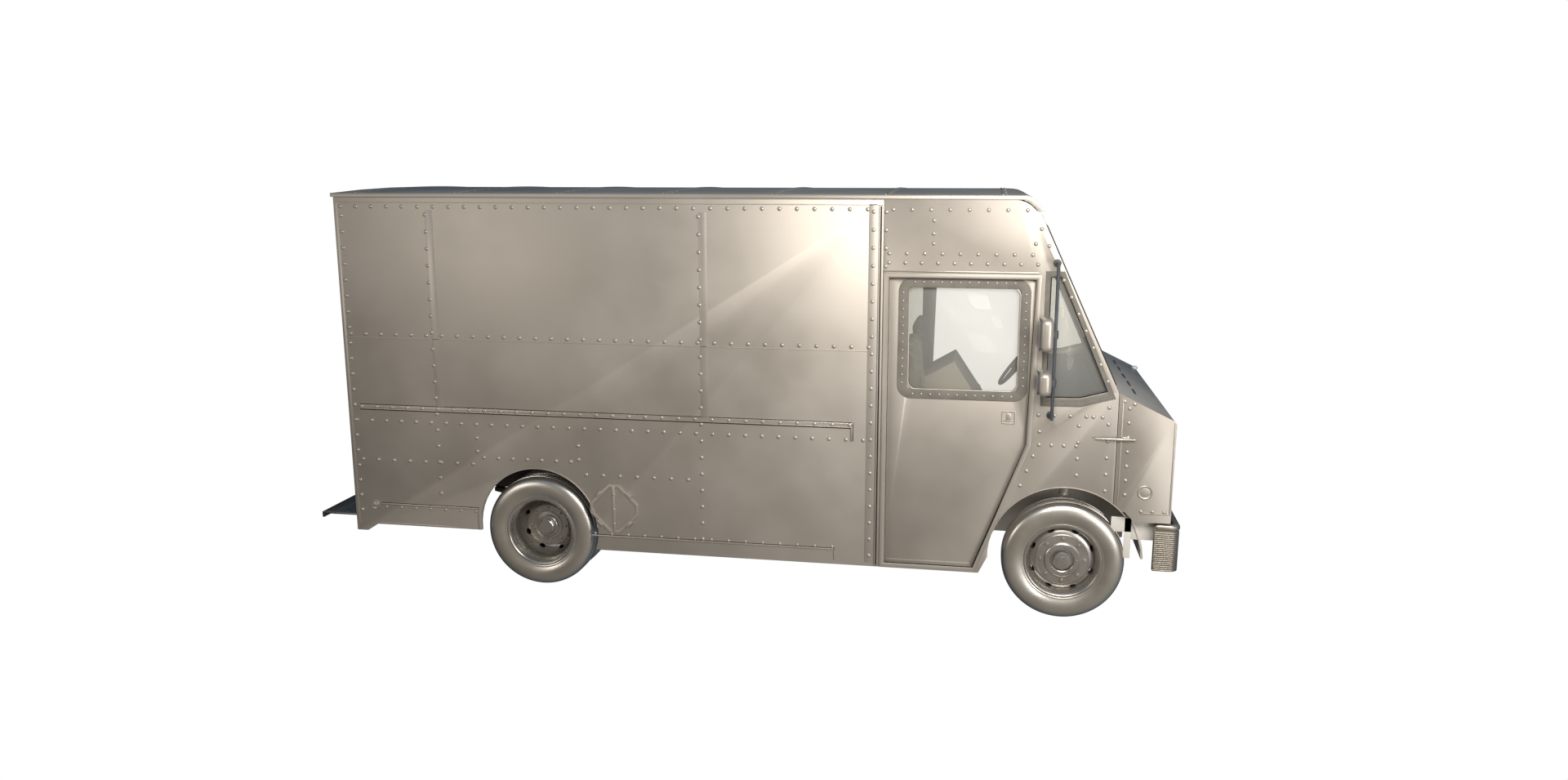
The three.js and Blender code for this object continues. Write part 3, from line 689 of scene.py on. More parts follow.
def dress_node(kit: Kit, name: str, material: bpy.types.Material, bevel: float = 3.0) -> None:
    """Gives a carried-over frame node its material and soft edges.

    Args:
        kit: the palette and nodes.
        name: the node's name.
        material: its material.
        bevel: width in mm of its edge bevel, or 0 for none.
    """
    node = kit.nodes[name]
    node.data.materials.clear()
    node.data.materials.append(material)
    for polygon in node.data.polygons:
        polygon.use_smooth = True
        polygon.material_index = 0
    weld = node.modifiers.new("joined_corners", "WELD")
    weld.merge_threshold = 0.01 * MM
    if bevel > 0:
        soften_edges(node, bevel, 30.0)


def spread(start: float, end: float, pitch: float) -> list[float]:
    """Evenly spaced stations from start to end, as near the pitch as fits."""
    count = max(1, round(abs(end - start) / pitch))
    return [start + (end - start) * i / count for i in range(count + 1)]


def towards(normal: Sequence[float], at: Sequence[float]) -> Matrix:
    """A placing matrix whose Z looks along a normal."""
    turn = Vector(normal).to_track_quat("Z", "Y").to_matrix().to_4x4()
    return Matrix.Translation(Vector(at)) @ turn


def dome_template(radius: float, height: float) -> bpy.types.Mesh:
    """A rivet's head: a low dome on the XY plane, with an open back."""
    bm = bmesh.new()
    bmesh.ops.create_uvsphere(bm, u_segments=10, v_segments=8, radius=1.0)
    bmesh.ops.bisect_plane(bm, geom=[*bm.verts, *bm.edges, *bm.faces], plane_co=(0, 0, 0),
                           plane_no=(0, 0, 1),
                           clear_inner=True)
    bmesh.ops.scale(bm, vec=(radius, radius, height), verts=bm.verts[:])
    mesh = bpy.data.meshes.new("dome")
    bm.to_mesh(mesh)
    bm.free()
    return mesh


def bolt_template(radius: float, height: float) -> bpy.types.Mesh:
    """A hexagon head with a small domed stud end."""
    bm = bmesh.new()
    bmesh.ops.create_cone(bm, cap_ends=True, segments=6, radius1=radius, radius2=radius * 0.9, depth=height,
                          matrix=Matrix.Translation((0, 0, height / 2)))
    bmesh.ops.create_cone(bm, cap_ends=True, segments=12, radius1=radius * 0.5, radius2=radius * 0.35,
                          depth=height * 0.6, matrix=Matrix.Translation((0, 0, height * 1.2)))
    mesh = bpy.data.meshes.new("bolt")
    bm.to_mesh(mesh)
    bm.free()
    return mesh


# ---- running gear ----


@dataclass
class RunningGear:
    """Tyres and wheels: fat smooth tyres on cast discs, single in front and dual at the rear."""

    kit: Kit
    front_x: float = 2390.0
    rear_x: float = -1395.0
    axle_z: float = 370.0
    radius: float = 415.0
    front_y: float = 930.0
    dual_outer_y: float = 937.0
    dual_inner_y: float = 662.0
    stud_circle: float = 135.0
    hand_holes: int = 8
    studs: int = 8

    def build(self) -> None:
        """Builds both axles' tyres and wheels."""
        for side in Side:
            sign = side.value
            self._tyre(f"front_tyre_{side.label}_smooth", f"front_{side.label}_wheel", self.front_x,
                       sign * self.front_y, f"front_tyre_{side.label}", sign)
            for row, middle in (("outer", self.dual_outer_y), ("inner", self.dual_inner_y)):
                self._tyre(f"rear_tyre_{row}_{side.label}_smooth", f"rear_{side.label}_wheel", self.rear_x,
                           sign * middle, f"rear_tyre_{row}_{side.label}", sign)
            self._front_wheel(side)
            self._rear_wheel(side)

    def _tyre(self, name: str, body: str, axle_x: float, middle: float, node: str, sign: int) -> None:
        """Builds one tyre with a full sidewall, a rim bead and grooved tread.

        Args:
            name: the piece's name.
            body: the frame body that it rides on.
            axle_x: the axle's X.
            middle: Y of the tyre's middle plane.
            node: the frame node that it stands for.
            sign: -1 or 1, the way out along Y.
        """
        radius = self.radius
        half = [(radius, 0), (radius, 18), (radius - 7, 20), (radius - 7, 26), (radius, 28),
                (radius - 0.5, 48),
                (radius - 7, 50), (radius - 7, 56), (radius - 2, 58), (radius - 5, 72), (radius - 12, 86),
                (radius - 24, 98), (radius - 42, 106), (radius - 62, 110.5), (radius - 82, 111.5),
                (radius - 102, 109.5), (radius - 120, 105), (radius - 134, 100), (radius - 139, 98),
                (radius - 144, 98.5), (radius - 152, 94), (radius - 160, 88), (radius - 164, 80)]
        inner = [(radius - 152, 74), (radius - 110, 94), (radius - 50, 96), (radius - 22, 80),
                 (radius - 14, 50),
                 (radius - 13, 0)]
        upper = half + inner
        lower = [(r, -y) for r, y in reversed(upper) if y > 0]
        Shaper().spun(upper + lower, (axle_x, middle, self.axle_z), (0, sign, 0), segments=96,
                      closed=True).finish(
            name, body, [self.kit.palette.tyre], slot="tyre", replaces=[node], sharp=40.0)

    def _rim(self, shaper: Shaper, axle_x: float, middle: float, sign: int) -> None:
        """Adds a rolled rim barrel with curled flanges."""
        half = [(246, 0), (246, 76), (250, 86), (258, 90), (262, 94), (261, 98), (254, 99), (247, 96),
                (240, 88),
                (236, 78), (226, 56), (222, 30), (222, 0)]
        lower = [(r, -y) for r, y in reversed(half) if y > 0]
        shaper.spun(half + lower, (axle_x, middle, self.axle_z), (0, sign, 0), segments=72, closed=True)

    def _ring_of(self, axle_x: float, y: float, radius: float, count: int, sign: int,
                 start: float = 0.0) -> list[Matrix]:
        """Places facing outwards on a circle about the axle."""
        places = []
        for i in range(count):
            angle = start + math.tau * i / count
            at = (axle_x + radius * math.cos(angle), y, self.axle_z + radius * math.sin(angle))
            places.append(towards((0, sign, 0), at))
        return places

    def _cut_holes(self, piece: bpy.types.Object, axle_x: float, middle: float, ring: float, sign: int,
                   size: tuple[float, float], start: float) -> None:
        """Cuts a circle of hand holes right through a wheel's disc.

        Args:
            piece: the wheel's disc.
            axle_x: the axle's X.
            middle: Y that the cutters are centred on.
            ring: radius of the holes' circle.
            sign: the way out along Y.
            size: a hole's half widths round the circle and across it.
            start: angle of the first hole.
        """
        bm = bmesh.new()
        for place in self._ring_of(axle_x, middle, ring, self.hand_holes, sign, start):
            outwards = (place.translation - Vector((axle_x, middle, self.axle_z))).normalized()
            across = outwards.cross(Vector((0, sign, 0)))
            turn = Matrix((across, outwards, Vector((0, sign, 0)))).transposed().to_4x4()
            bmesh.ops.create_cone(bm, cap_ends=True, segments=20, radius1=1, radius2=1, depth=160,
                                  matrix=Matrix.Translation(place.translation) @ turn
                                  @ Matrix.Diagonal((*size, 1, 1)))
        bmesh.ops.translate(bm, vec=(0, 0, RISE), verts=bm.verts[:])
        bmesh.ops.scale(bm, vec=(MM, MM, MM), verts=bm.verts[:])
        mesh = bpy.data.meshes.new("hand_hole_cutter")
        bm.to_mesh(mesh)
        bm.free()
        cutter = bpy.data.objects.new("hand_hole_cutter", mesh)
        bpy.context.scene.collection.objects.link(cutter)
        cutting = piece.modifiers.new("hand_holes", "BOOLEAN")
        cutting.object = cutter
        cutting.solver = "EXACT"
        view = bpy.context.evaluated_depsgraph_get()
        cut_mesh = bpy.data.meshes.new_from_object(piece.evaluated_get(view))
        piece.modifiers.clear()
        piece.data = cut_mesh
        cut_mesh.set_sharp_from_angle(angle=math.radians(32))
        bpy.data.objects.remove(cutter)

    def _front_wheel(self, side: Side) -> None:
        """Builds a front wheel: rim, crowned disc with hand holes, hub flange with studs, and cap."""
        sign = side.value
        body = f"front_{side.label}_wheel"
        metal = [self.kit.palette.wheel, self.kit.palette.shadow]
        at = (self.front_x, sign * self.front_y, self.axle_z)
        barrel = Shaper()
        self._rim(barrel, self.front_x, sign * self.front_y, sign)
        barrel.finish(f"front_rim_{side.label}", body, metal, slot="wheel_metal", sharp=35.0,
                      replaces=[f"front_wheel_{side.label}"])
        disc = Shaper().spun([
            (0, -14), (170, -14), (200, -22), (222, -40), (232, -44), (237, -36), (236, -14), (231, 6),
            (220, 22),
            (204, 33), (188, 38), (178, 40), (0, 40),
        ], at, (0, sign, 0), segments=80)
        piece = disc.finish(f"front_disc_{side.label}", body, metal, slot="wheel_metal", sharp=30.0)
        self._cut_holes(piece, self.front_x, sign * self.front_y, 211, sign, (25, 11), math.pi / 8)
        hub = Shaper()
        hub.spun([(0, 38), (176, 38), (179, 42), (179, 50), (175, 53), (122, 54), (120, 68), (114, 72),
                  (84, 72),
                  (78, 68), (74, 52), (66, 52), (63, 58), (62, 84), (56, 90), (34, 92), (30, 96), (0, 97)],
                 at, (0, sign, 0), segments=72)
        studs = self._ring_of(self.front_x, sign * (self.front_y + 53), 150, self.studs, sign)
        hub.stamp(bolt_template(13, 12), studs)
        hub.stamp(bolt_template(6, 5), self._ring_of(self.front_x, sign * (self.front_y + 72), 99, 5, sign))
        hub.finish(f"front_hub_{side.label}", body, metal, slot="wheel_metal", sharp=30.0)
        # The drum takes the near-black shadow finish, darker than the rear drums' chassis paint: painted
        # shade of the recess behind the disc.
        drum = Shaper().spun([(0, -82), (214, -82), (220, -76), (220, -52), (214, -48), (0, -48)], at,
                             (0, sign, 0))
        drum.finish(f"front_drum_{side.label}", body, [self.kit.palette.shadow], slot="chassis_paint",
                    sharp=30.0)

    def _rear_wheel(self, side: Side) -> None:
        """Builds a dual wheel: two rims, a deep dish with hand holes, a hub with nuts, and an axle cap."""
        sign = side.value
        body = f"rear_{side.label}_wheel"
        metal = [self.kit.palette.wheel, self.kit.palette.shadow]
        rims = Shaper()
        self._rim(rims, self.rear_x, sign * self.dual_outer_y, sign)
        self._rim(rims, self.rear_x, sign * self.dual_inner_y, sign)
        rims.finish(f"rear_rims_{side.label}", body, metal, slot="wheel_metal", sharp=35.0,
                    replaces=[f"rear_wheel_{side.label}"])
        origin = (self.rear_x, 0, self.axle_z)
        dish = Shaper().spun([
            (0, 806), (150, 806), (176, 808), (196, 818), (212, 838), (223, 866), (229, 894), (233, 890),
            (229, 860), (219, 828), (202, 802), (184, 790), (160, 784), (0, 784),
        ], origin, (0, sign, 0), segments=80)
        piece = dish.finish(f"rear_dish_{side.label}", body, metal, slot="wheel_metal", sharp=34.0)
        self._cut_holes(piece, self.rear_x, sign * 820, 198, sign, (24, 13), math.pi / 8)
        hub = Shaper()
        hub.spun([(0, 800), (158, 800), (160, 806), (160, 862), (155, 868), (112, 870), (108, 874),
                  (84, 878),
                  (82, 894), (76, 898), (64, 898), (60, 902), (58, 916), (52, 921), (0, 922)], origin,
                  (0, sign, 0))
        hub.stamp(bolt_template(13, 14),
                  self._ring_of(self.rear_x, sign * 868, self.stud_circle, self.studs, sign))
        hub.stamp(bolt_template(5, 5), self._ring_of(self.rear_x, sign * 898, 71, 8, sign))
        hub.finish(f"rear_hub_{side.label}", body, metal, slot="wheel_metal", sharp=30.0)
        drum = Shaper().spun([(0, 724), (186, 724), (190, 728), (190, 778), (0, 778)], origin, (0, sign, 0))
        drum.finish(f"rear_drum_{side.label}", body, [self.kit.palette.chassis], slot="chassis_paint",
                    sharp=30.0)
        back = Shaper().spun([
            (40, 700), (150, 714), (196, 708), (214, 690), (224, 660), (226, 664), (218, 696), (198, 718),
            (150, 724), (40, 720),
        ], origin, (0, sign, 0), closed=True)
        back.finish(f"rear_inner_dish_{side.label}", body, metal, slot="wheel_metal", sharp=34.0)


# ---- cargo body ----


@dataclass
class CargoBody:
    """The riveted cargo body: seams, belt rail, rub rails, placard holder and markers."""

    kit: Kit
    half: float = 1075.0
    rivet: float = 15.0
    rivet_height: float = 8.5
    pitch: float = 119.0
    belt: tuple[float, float] = (1265.0, 1300.0)
    placard: tuple[float, float] = (-800.0, 590.0)

    def build(self) -> None:
        """Dresses the panels and adds their fittings."""
        for side in Side:
            dress_node(self.kit, f"side_panel_{side.label}", self.kit.palette.skin, 4.0)
            self._seams(side)
            self._rivets(side)
            self._rails(side)
            self._placard(side)
            self._markers(side)
        dress_node(self.kit, "roof", self.kit.palette.skin, 9.0)
        self._roof_seams()

    def _wall(self, side: Side, places: Iterable[Flat], lift: float = 0.0) -> list[Matrix]:
        """Places on a side wall that look outwards, from pairs of X and Z."""
        sign = side.value
        return [towards((0, sign, 0), (x, sign * (self.half + lift), z)) for x, z in places]

    def _rivets(self, side: Side) -> None:
        """Adds the domed rivets in their rows and columns."""
        rows = [
            (2756, -2800, 1020), (1830, -2790, 1040), (1180, -2790, 1010), (878, -2764, -1880),
            (930, -1792, -1120),
            (838, -1005, -240),
        ]
        columns = [
            (-2800, 2690, 480), (-2147, 2700, 640), (-140, 2700, 400), (1060, 2740, 350), (1145, 2740, 350),
        ]
        shorts = [(-1840, 977, 1077), (-1060, 948, 1051)]
        places: list[Flat] = []
        for z, start, end in rows:
            places += [(x, z) for x in spread(start, end, self.pitch)]
        for x, top, bottom in columns:
            places += [(x, z) for z in spread(top, bottom, self.pitch) if not self._near_arch(x, z)]
        for x, low, high in shorts:
            places += [(x, z) for z in spread(low, high, 100)]
        kept = [(x, z) for x, z in places if not self._near_arch(x, z)]
        head = dome_template(self.rivet, self.rivet_height)
        Shaper().stamp(head, self._wall(side, kept)).finish(
            f"cargo_rivets_{side.label}", "chassis", [self.kit.palette.trim], slot="trim_metal")
        small = dome_template(11, 6)
        belt = [(x, sum(self.belt) / 2 + 3) for x in spread(-2740, 915, 122)]
        lower = [(x, 398) for x in spread(-950, 800, 125)] + [(x, 512) for x in spread(-2600, -1880, 120)]
        trim = Shaper().stamp(head, self._wall(side, belt, 9)).stamp(small, self._wall(side, lower))
        trim.finish(f"rail_rivets_{side.label}", "chassis", [self.kit.palette.trim], slot="trim_metal")

    def _near_arch(self, x: float, z: float) -> bool:
        """True where the rear wheel arch has no skin to rivet."""
        return math.hypot(x + 1385, z - 410) < 500

    def _seams(self, side: Side) -> None:
        """Adds the lapped edges of the skin sheets, which catch a line of light, with a shadow under each."""
        sign = side.value
        out, skin = sign * (self.half + 2.5), sign * (self.half - 1)
        laps = Shaper()
        for x in (-2120, -112):
            laps.box((x - 27, skin, 1302), (x + 27, out, 2730), bevel=1.8)
        laps.box((-2830, skin, 1800), (1030, out, 1806), bevel=1.5)
        laps.box((-2830, skin, 2782), (1120, out, 2790), bevel=1.5)
        laps.box((-2840, skin, 372), (-2820, out, 2780), bevel=1.8)
        laps.box((1030, skin, 300), (1086, out, 2790), bevel=1.8)
        laps.finish(f"sheet_laps_{side.label}", "chassis", [self.kit.palette.skin], slot="body_skin")
        post = Shaper()
        post.box((1098, skin, 282), (1106, sign * (self.half + 11), 2782), bevel=2.5)
        post.box((1114, skin, 282), (1122, sign * (self.half + 11), 2782), bevel=2.5)
        post.finish(f"door_post_moulding_{side.label}", "chassis", [self.kit.palette.skin], slot="body_skin")
        # A near-black strip between the two mouldings: painted shade of the groove.
        groove = Shaper().box((1106, skin, 286), (1114, sign * (self.half + 2), 2776), bevel=1.0)
        groove.finish(f"door_post_groove_{side.label}", "chassis", [self.kit.palette.shadow],
                      slot="dark_plastic")

    def _rails(self, side: Side) -> None:
        """Adds the belt rail with its turned-down end, and the two lower rub rails."""
        sign = side.value
        skin = sign * (self.half - 2)
        low, high = self.belt
        rail = Shaper()
        rail.box((-2762, skin, low), (936, sign * (self.half + 10), high), bevel=4)
        rail.box((924, skin, 1171), (936, sign * (self.half + 10), low + 4), bevel=3)
        for z in (low + 5, high - 5):
            rail.box((-2762, skin, z - 3), (936, sign * (self.half + 13), z + 3), bevel=2)
        rail.finish(f"belt_rail_{side.label}", "chassis", [self.kit.palette.trim], slot="trim_metal")
        # Thin near-black strips under and over the belt rail, beside its turned-down end and over the rub
        # rails: painted shadow of the rails.
        shade = Shaper().box((-2760, skin, low - 7), (934, sign * (self.half + 1.5), low), bevel=0.8)
        shade.box((936, skin, 1171), (941, sign * (self.half + 1.5), high), bevel=0.8)
        shade.box((-2760, skin, high), (934, sign * (self.half + 1.5), high + 4), bevel=0.8)
        shade.box((-977, skin, 388), (819, sign * (self.half + 1.2), 392), bevel=0.8)
        shade.box((-2643, skin, 541), (-1851, sign * (self.half + 1.2), 545), bevel=0.8)
        shade.finish(f"rail_sealant_{side.label}", "chassis", [self.kit.palette.shadow], slot="dark_plastic")
        rub = Shaper()
        rub.box((-977, skin, 376), (821, sign * (self.half + 7), 388), bevel=3)
        rub.box((811, skin, 308), (821, sign * (self.half + 7), 388), bevel=3)
        rub.box((-2643, skin, 529), (-1851, sign * (self.half + 7), 541), bevel=3)
        rub.box((-1861, skin, 373), (-1851, sign * (self.half + 7), 541), bevel=3)
        rub.box((-2670, skin, 376), (-1905, sign * (self.half + 5), 388), bevel=3)
        rub.finish(f"rub_rails_{side.label}", "chassis", [self.kit.palette.trim], slot="trim_metal")

    def _placard(self, side: Side) -> None:
        """Adds the empty placard holder: a diamond frame with cut corners, a centre bar and four clips."""
        sign = side.value
        x, z = self.placard
        wide, tall, cut = 182, 182, 38
        skin = sign * (self.half - 1)
        outline = [(x - wide, z - cut), (x - cut, z - tall), (x + cut, z - tall), (x + wide, z - cut),
                   (x + wide, z + cut), (x + cut, z + tall), (x - cut, z + tall), (x - wide, z + cut)]
        ring = Shaper().ring([(px, skin, pz) for px, pz in outline], 20, (0, sign * 8, 0), bevel=2)
        ring.box((x - 11, skin, z - tall + 8), (x + 11, sign * (self.half + 9), z + tall - 8), bevel=3)
        for dx, dz in ((-1, -1), (1, -1), (1, 1), (-1, 1)):
            cx, cz = x + dx * (wide + cut) / 2, z + dz * (tall + cut) / 2
            turn = Matrix.Rotation(math.radians(45 * dx * dz), 4, "Y")
            ring.box((cx - 26, skin, cz - 10), (cx + 26, sign * (self.half + 15), cz + 10), bevel=4,
                     turn=turn)
        ring.stamp(dome_template(9, 6), self._wall(side, [(x, z - 110), (x, z), (x, z + 110)], 8))
        ring.finish(f"placard_holder_{side.label}", "chassis", [self.kit.palette.trim], slot="trim_metal")

    def _markers(self, side: Side) -> None:
        """Adds the round side markers in their pressed bezels."""
        sign = side.value
        label = side.label
        for name, x, z in (("rear", -2691, 527),):
            at = (x, sign * self.half, z)
            bezel = Shaper().spun([(34, -1), (34, 6), (30, 9), (25, 7), (25, -1)], at, (0, sign, 0), 40,
                                  closed=True)
            bezel.finish(f"{name}_marker_bezel_{label}", "chassis", [self.kit.palette.trim],
                         slot="trim_metal")
            lens = Shaper().spun([(0, 9), (12, 8), (20, 5), (25, 0), (0, 0)], at, (0, sign, 0), 40)
            lens.finish(f"{name}_marker_lens_{label}", "chassis", [self.kit.palette.skin], slot="lamp_lens")

    def _roof_seams(self) -> None:
        """Adds the roof's cross seams with rivets, and the rear clearance lamps."""
        seams = Shaper()
        heads: list[Matrix] = []
        for x in spread(-2700, 1900, 766):
            line = [(x, y, self._crown(y) + 1.5) for y in spread(-1030, 1030, 103)]
            seams.pipe(line, 5, segments=2)
            heads += [towards((0, 0, 1), (x + 22, y, self._crown(y))) for y in spread(-1000, 1000, 125)]
        seams.stamp(dome_template(10, 5), heads)
        seams.finish("roof_seams", "chassis", [self.kit.palette.skin], slot="body_skin")
        lamps = Shaper()
        for y in (-900, -150, 0, 150, 900):
            lamps.box((-2882, y - 45, 2800), (-2868, y + 45, 2832), bevel=6, segments=3)
        lamps.finish("rear_clearance_lamps", "chassis", [self.kit.palette.red], slot="lamp_lens")

    def _crown(self, y: float) -> float:
        """Height of the roof's top at a distance from its middle."""
        return 2876.0 - 27.0 * (abs(y) / 1075.0) ** 2


# ---- cab ----


@dataclass
class CabDressing:
    """The cab's outside: door borders, window gaskets, handles, rivets, arch lips and pillar trim."""

    kit: Kit
    half: float = 1075.0
    leaf: float = 1040.0
    slide: float = 745.0
    foot: Flat = (2699.0, 1567.0)     # the windshield's foot and head, as X and Z
    head: Flat = (2150.0, 2733.0)
    rivet: float = 14.0

    def build(self) -> None:
        """Dresses the cab's nodes and adds its outside fittings."""
        palette = self.kit.palette
        for name in ("cab_front_frame", "cab_side_left", "cab_side_right"):
            dress_node(self.kit, name, palette.skin, 4.0)
        dress_node(self.kit, "windshield_glass", palette.pane, 0.0)
        self._windshield_gasket()
        for side in Side:
            dress_node(self.kit, f"quarter_window_{side.label}", palette.pane, 0.0)
            dress_node(self.kit, f"cab_door_{side.label}", palette.skin, 3.0)
            dress_node(self.kit, f"door_glass_{side.label}", palette.pane, 0.0)
            dress_node(self.kit, f"wiper_{side.label}", palette.plastic, 1.5)
            dress_node(self.kit, f"mirror_arm_{side.label}", palette.plastic, 1.5)
            self._door_border(side)
            self._quarter_trim(side)
            self._rivets(side)
            self._arch_lips(side)
            self._door(side)
            self._mirror(side)
            self._strut(side)
            self._liner(side)

    def _wall(self, side: Side, outline: Iterable[Flat], depth: float) -> list[Point]:
        """Points of an outline in X and Z on a plane at a distance from the middle."""
        return [(x, side.value * depth, z) for x, z in outline]

    def _rounded(self, x0: float, x1: float, z0: float, z1: float, radius: float,
                 steps: int = 8) -> list[Flat]:
        """A rectangle's outline with round corners."""
        outline: list[Flat] = []
        for cx, cz, start in ((x1 - radius, z0 + radius, -90), (x1 - radius, z1 - radius, 0),
                              (x0 + radius, z1 - radius, 90), (x0 + radius, z0 + radius, 180)):
            for i in range(steps + 1):
                angle = math.radians(start + 90 * i / steps)
                outline.append((cx + radius * math.cos(angle), cz + radius * math.sin(angle)))
        return outline

    def _door_border(self, side: Side) -> None:
        """Adds the raised border round the doorway, and a dark ring inside it as painted shade."""
        sign = side.value
        outline = [(1134, 274), (1797, 274), (2142, 1186), (2169, 2338), (1134, 2338)]
        Shaper().ring(self._wall(side, outline, self.half - 1), 26, (0, sign * 10, 0), bevel=3).finish(
            f"doorway_border_{side.label}", "chassis", [self.kit.palette.skin], slot="body_skin")
        # A near-black ring just inside the border: painted shade where the door sits back in its opening.
        inner = [(1161, 298), (1779, 298), (2116, 1190), (2142, 2312), (1161, 2312)]
        Shaper().ring(self._wall(side, inner, self.half - 14), 9, (0, sign * 12, 0), bevel=2).finish(
            f"doorway_seal_{side.label}", "chassis", [self.kit.palette.shadow], slot="dark_plastic")
        rail = Shaper().box((1128, sign * (self.half - 1), 2346), (2150, sign * (self.half + 9), 2356),
                            bevel=3)
        rail.finish(f"doorway_drip_rail_{side.label}", "chassis", [self.kit.palette.trim], slot="trim_metal")

    def _quarter_trim(self, side: Side) -> None:
        """Adds the wide gasket round the quarter window, and its lower band."""
        sign = side.value
        outline = [(2194, 1466), (2455, 1470), (2678, 1531), (2314, 2364), (2194, 2364)]
        ring = Shaper().ring(self._wall(side, outline, self.half - 1), 30, (0, sign * 7, 0), bevel=2.5)
        band = [(2220, 1484), (2452, 1488), (2650, 1543), (2636, 1574), (2451, 1524), (2220, 1519)]
        ring.prism(self._wall(side, band, self.half - 1), (0, sign * 4, 0), bevel=1.5)
        ring.finish(f"quarter_gasket_{side.label}", "chassis", [self.kit.palette.rubber],
                    slot="dark_plastic")
        # A near-black ring just inside the gasket: painted shade of the window's recess.
        inner = [(2221, 1522), (2450, 1527), (2633, 1577), (2293, 2331), (2225, 2331)]
        Shaper().ring(self._wall(side, inner, self.half - 10), 7, (0, sign * 12, 0), bevel=1.5).finish(
            f"quarter_seal_{side.label}", "chassis", [self.kit.palette.shadow], slot="dark_plastic")

    def _rivets(self, side: Side) -> None:
        """Adds the cab's rivets: header rows, door posts, pillar, cowl, and both sides of the nose seam."""
        sign = side.value
        spots: list[Flat] = [(x, 2756) for x in spread(1190, 2060, 119)]
        spots += [(x, 2468) for x in spread(1168, 2104, 117)] + [(x, 2406) for x in spread(1168, 2140, 108)]
        spots += [(1460, 2536), (1460, 2600), (1460, 2686), (2120, 2540)]
        for s in spread(0.08, 0.93, 0.09):
            spots.append((self.foot[0] + (self.head[0] - self.foot[0]) * s - 34,
                          self.foot[1] + (self.head[1] - self.foot[1]) * s - 14))
        spots += [(1850 + 0.3656 * (z - 274), z) for z in spread(700, 1120, 95)]
        spots += [(x, 1404) for x in spread(2184, 2600, 104)] + [(x, 1200) for x in spread(2196, 2440, 81)]
        spots += [(2450, z) for z in spread(1000, 1340, 113)] + [(2640, z) for z in spread(900, 1470, 114)]
        spots += [(2196, z) for z in (1290,)] + [(2540, 1404)]
        kept = [(x, z) for x, z in spots if math.hypot(x - 2390, z - 400) > 548]
        places = [towards((0, sign, 0), (x, sign * self.half, z)) for x, z in kept]
        Shaper().stamp(dome_template(self.rivet, 8), places).finish(
            f"cab_rivets_{side.label}", "chassis", [self.kit.palette.trim], slot="trim_metal")

    def _arch_lips(self, side: Side) -> None:
        """Adds the rolled lips of both wheel arches and the panel line round the front one."""
        sign = side.value
        lips = Shaper()
        for cx, cz, radius, start, end in ((2390, 400, 511, 40, 160), (-1385, 410, 456, 4, 168)):
            points = []
            for i in range(37):
                angle = math.radians(start + (end - start) * i / 36)
                points.append((cx + radius * math.cos(angle), sign * (self.half + 1),
                               cz + radius * math.sin(angle)))
            lips.pipe(points, 4, segments=3)
        lips.finish(f"arch_lips_{side.label}", "chassis", [self.kit.palette.skin], slot="body_skin")

    def _door(self, side: Side) -> None:
        """Adds a sliding door's window gasket and bead, screws, flush handle, edge folds and track."""
        sign = side.value
        label = side.label
        body = f"{label}_cab_door"
        shift = 0.0 if side is Side.RIGHT else -self.slide
        outer = self._rounded(1234 + shift, 2106 + shift, 1483, 2306, 92)
        gasket = Shaper().ring(self._wall(side, outer, self.leaf - 1), 66, (0, sign * 9, 0), bevel=4)
        gasket.finish(f"door_gasket_{label}", body, [self.kit.palette.rubber], slot="dark_plastic")
        bead = self._rounded(1297 + shift, 2043 + shift, 1540, 2253, 62)
        Shaper().ring(self._wall(side, bead, self.leaf - 8), 12, (0, sign * 13, 0), bevel=3).finish(
            f"door_window_bead_{label}", body, [self.kit.palette.trim], slot="trim_metal")
        spots = [(x, z) for x in spread(1340, 2000, 60) for z in (1515, 2279)]
        spots += [(x, z) for z in spread(1590, 2205, 56) for x in (1265, 2075)]
        places = [towards((0, sign, 0), (x + shift, sign * (self.leaf + 8), z)) for x, z in spots]
        Shaper().stamp(dome_template(8, 5), places).finish(
            f"door_gasket_screws_{label}", body, [self.kit.palette.trim], slot="trim_metal")
        handle = Shaper()
        pocket = self._rounded(1942 + shift, 2035 + shift, 1326, 1416, 10, 4)
        handle.ring(self._wall(side, pocket, self.leaf - 1), 9, (0, sign * 5, 0), bevel=1.5)
        handle.box((1958 + shift, sign * (self.leaf - 1), 1342),
                   (2019 + shift, sign * (self.leaf + 4), 1352), bevel=2)
        handle.box((1972 + shift, sign * (self.leaf - 1), 1352),
                   (2005 + shift, sign * (self.leaf + 5), 1400), bevel=3)
        handle.finish(f"door_handle_{label}", body, [self.kit.palette.trim], slot="trim_metal")
        skin = Shaper()
        skin.box((1180 + shift, sign * (self.leaf - 1), 2288), (2128 + shift, sign * (self.leaf + 3), 2300),
                 bevel=1.5)
        skin.box((1176 + shift, sign * (self.leaf - 1), 315), (1760 + shift, sign * (self.leaf + 4), 327),
                 bevel=1.5)
        skin.finish(f"door_edge_folds_{label}", body, [self.kit.palette.skin], slot="body_skin")
        rail = Shaper()
        for z in (2330, 292):
            rail.box((1180, sign * 1016, z), (2100 if z > 1000 else 1760, sign * 1034, z + 6), bevel=2)
        rail.finish(f"door_track_{label}", "chassis", [self.kit.palette.trim], slot="trim_metal")

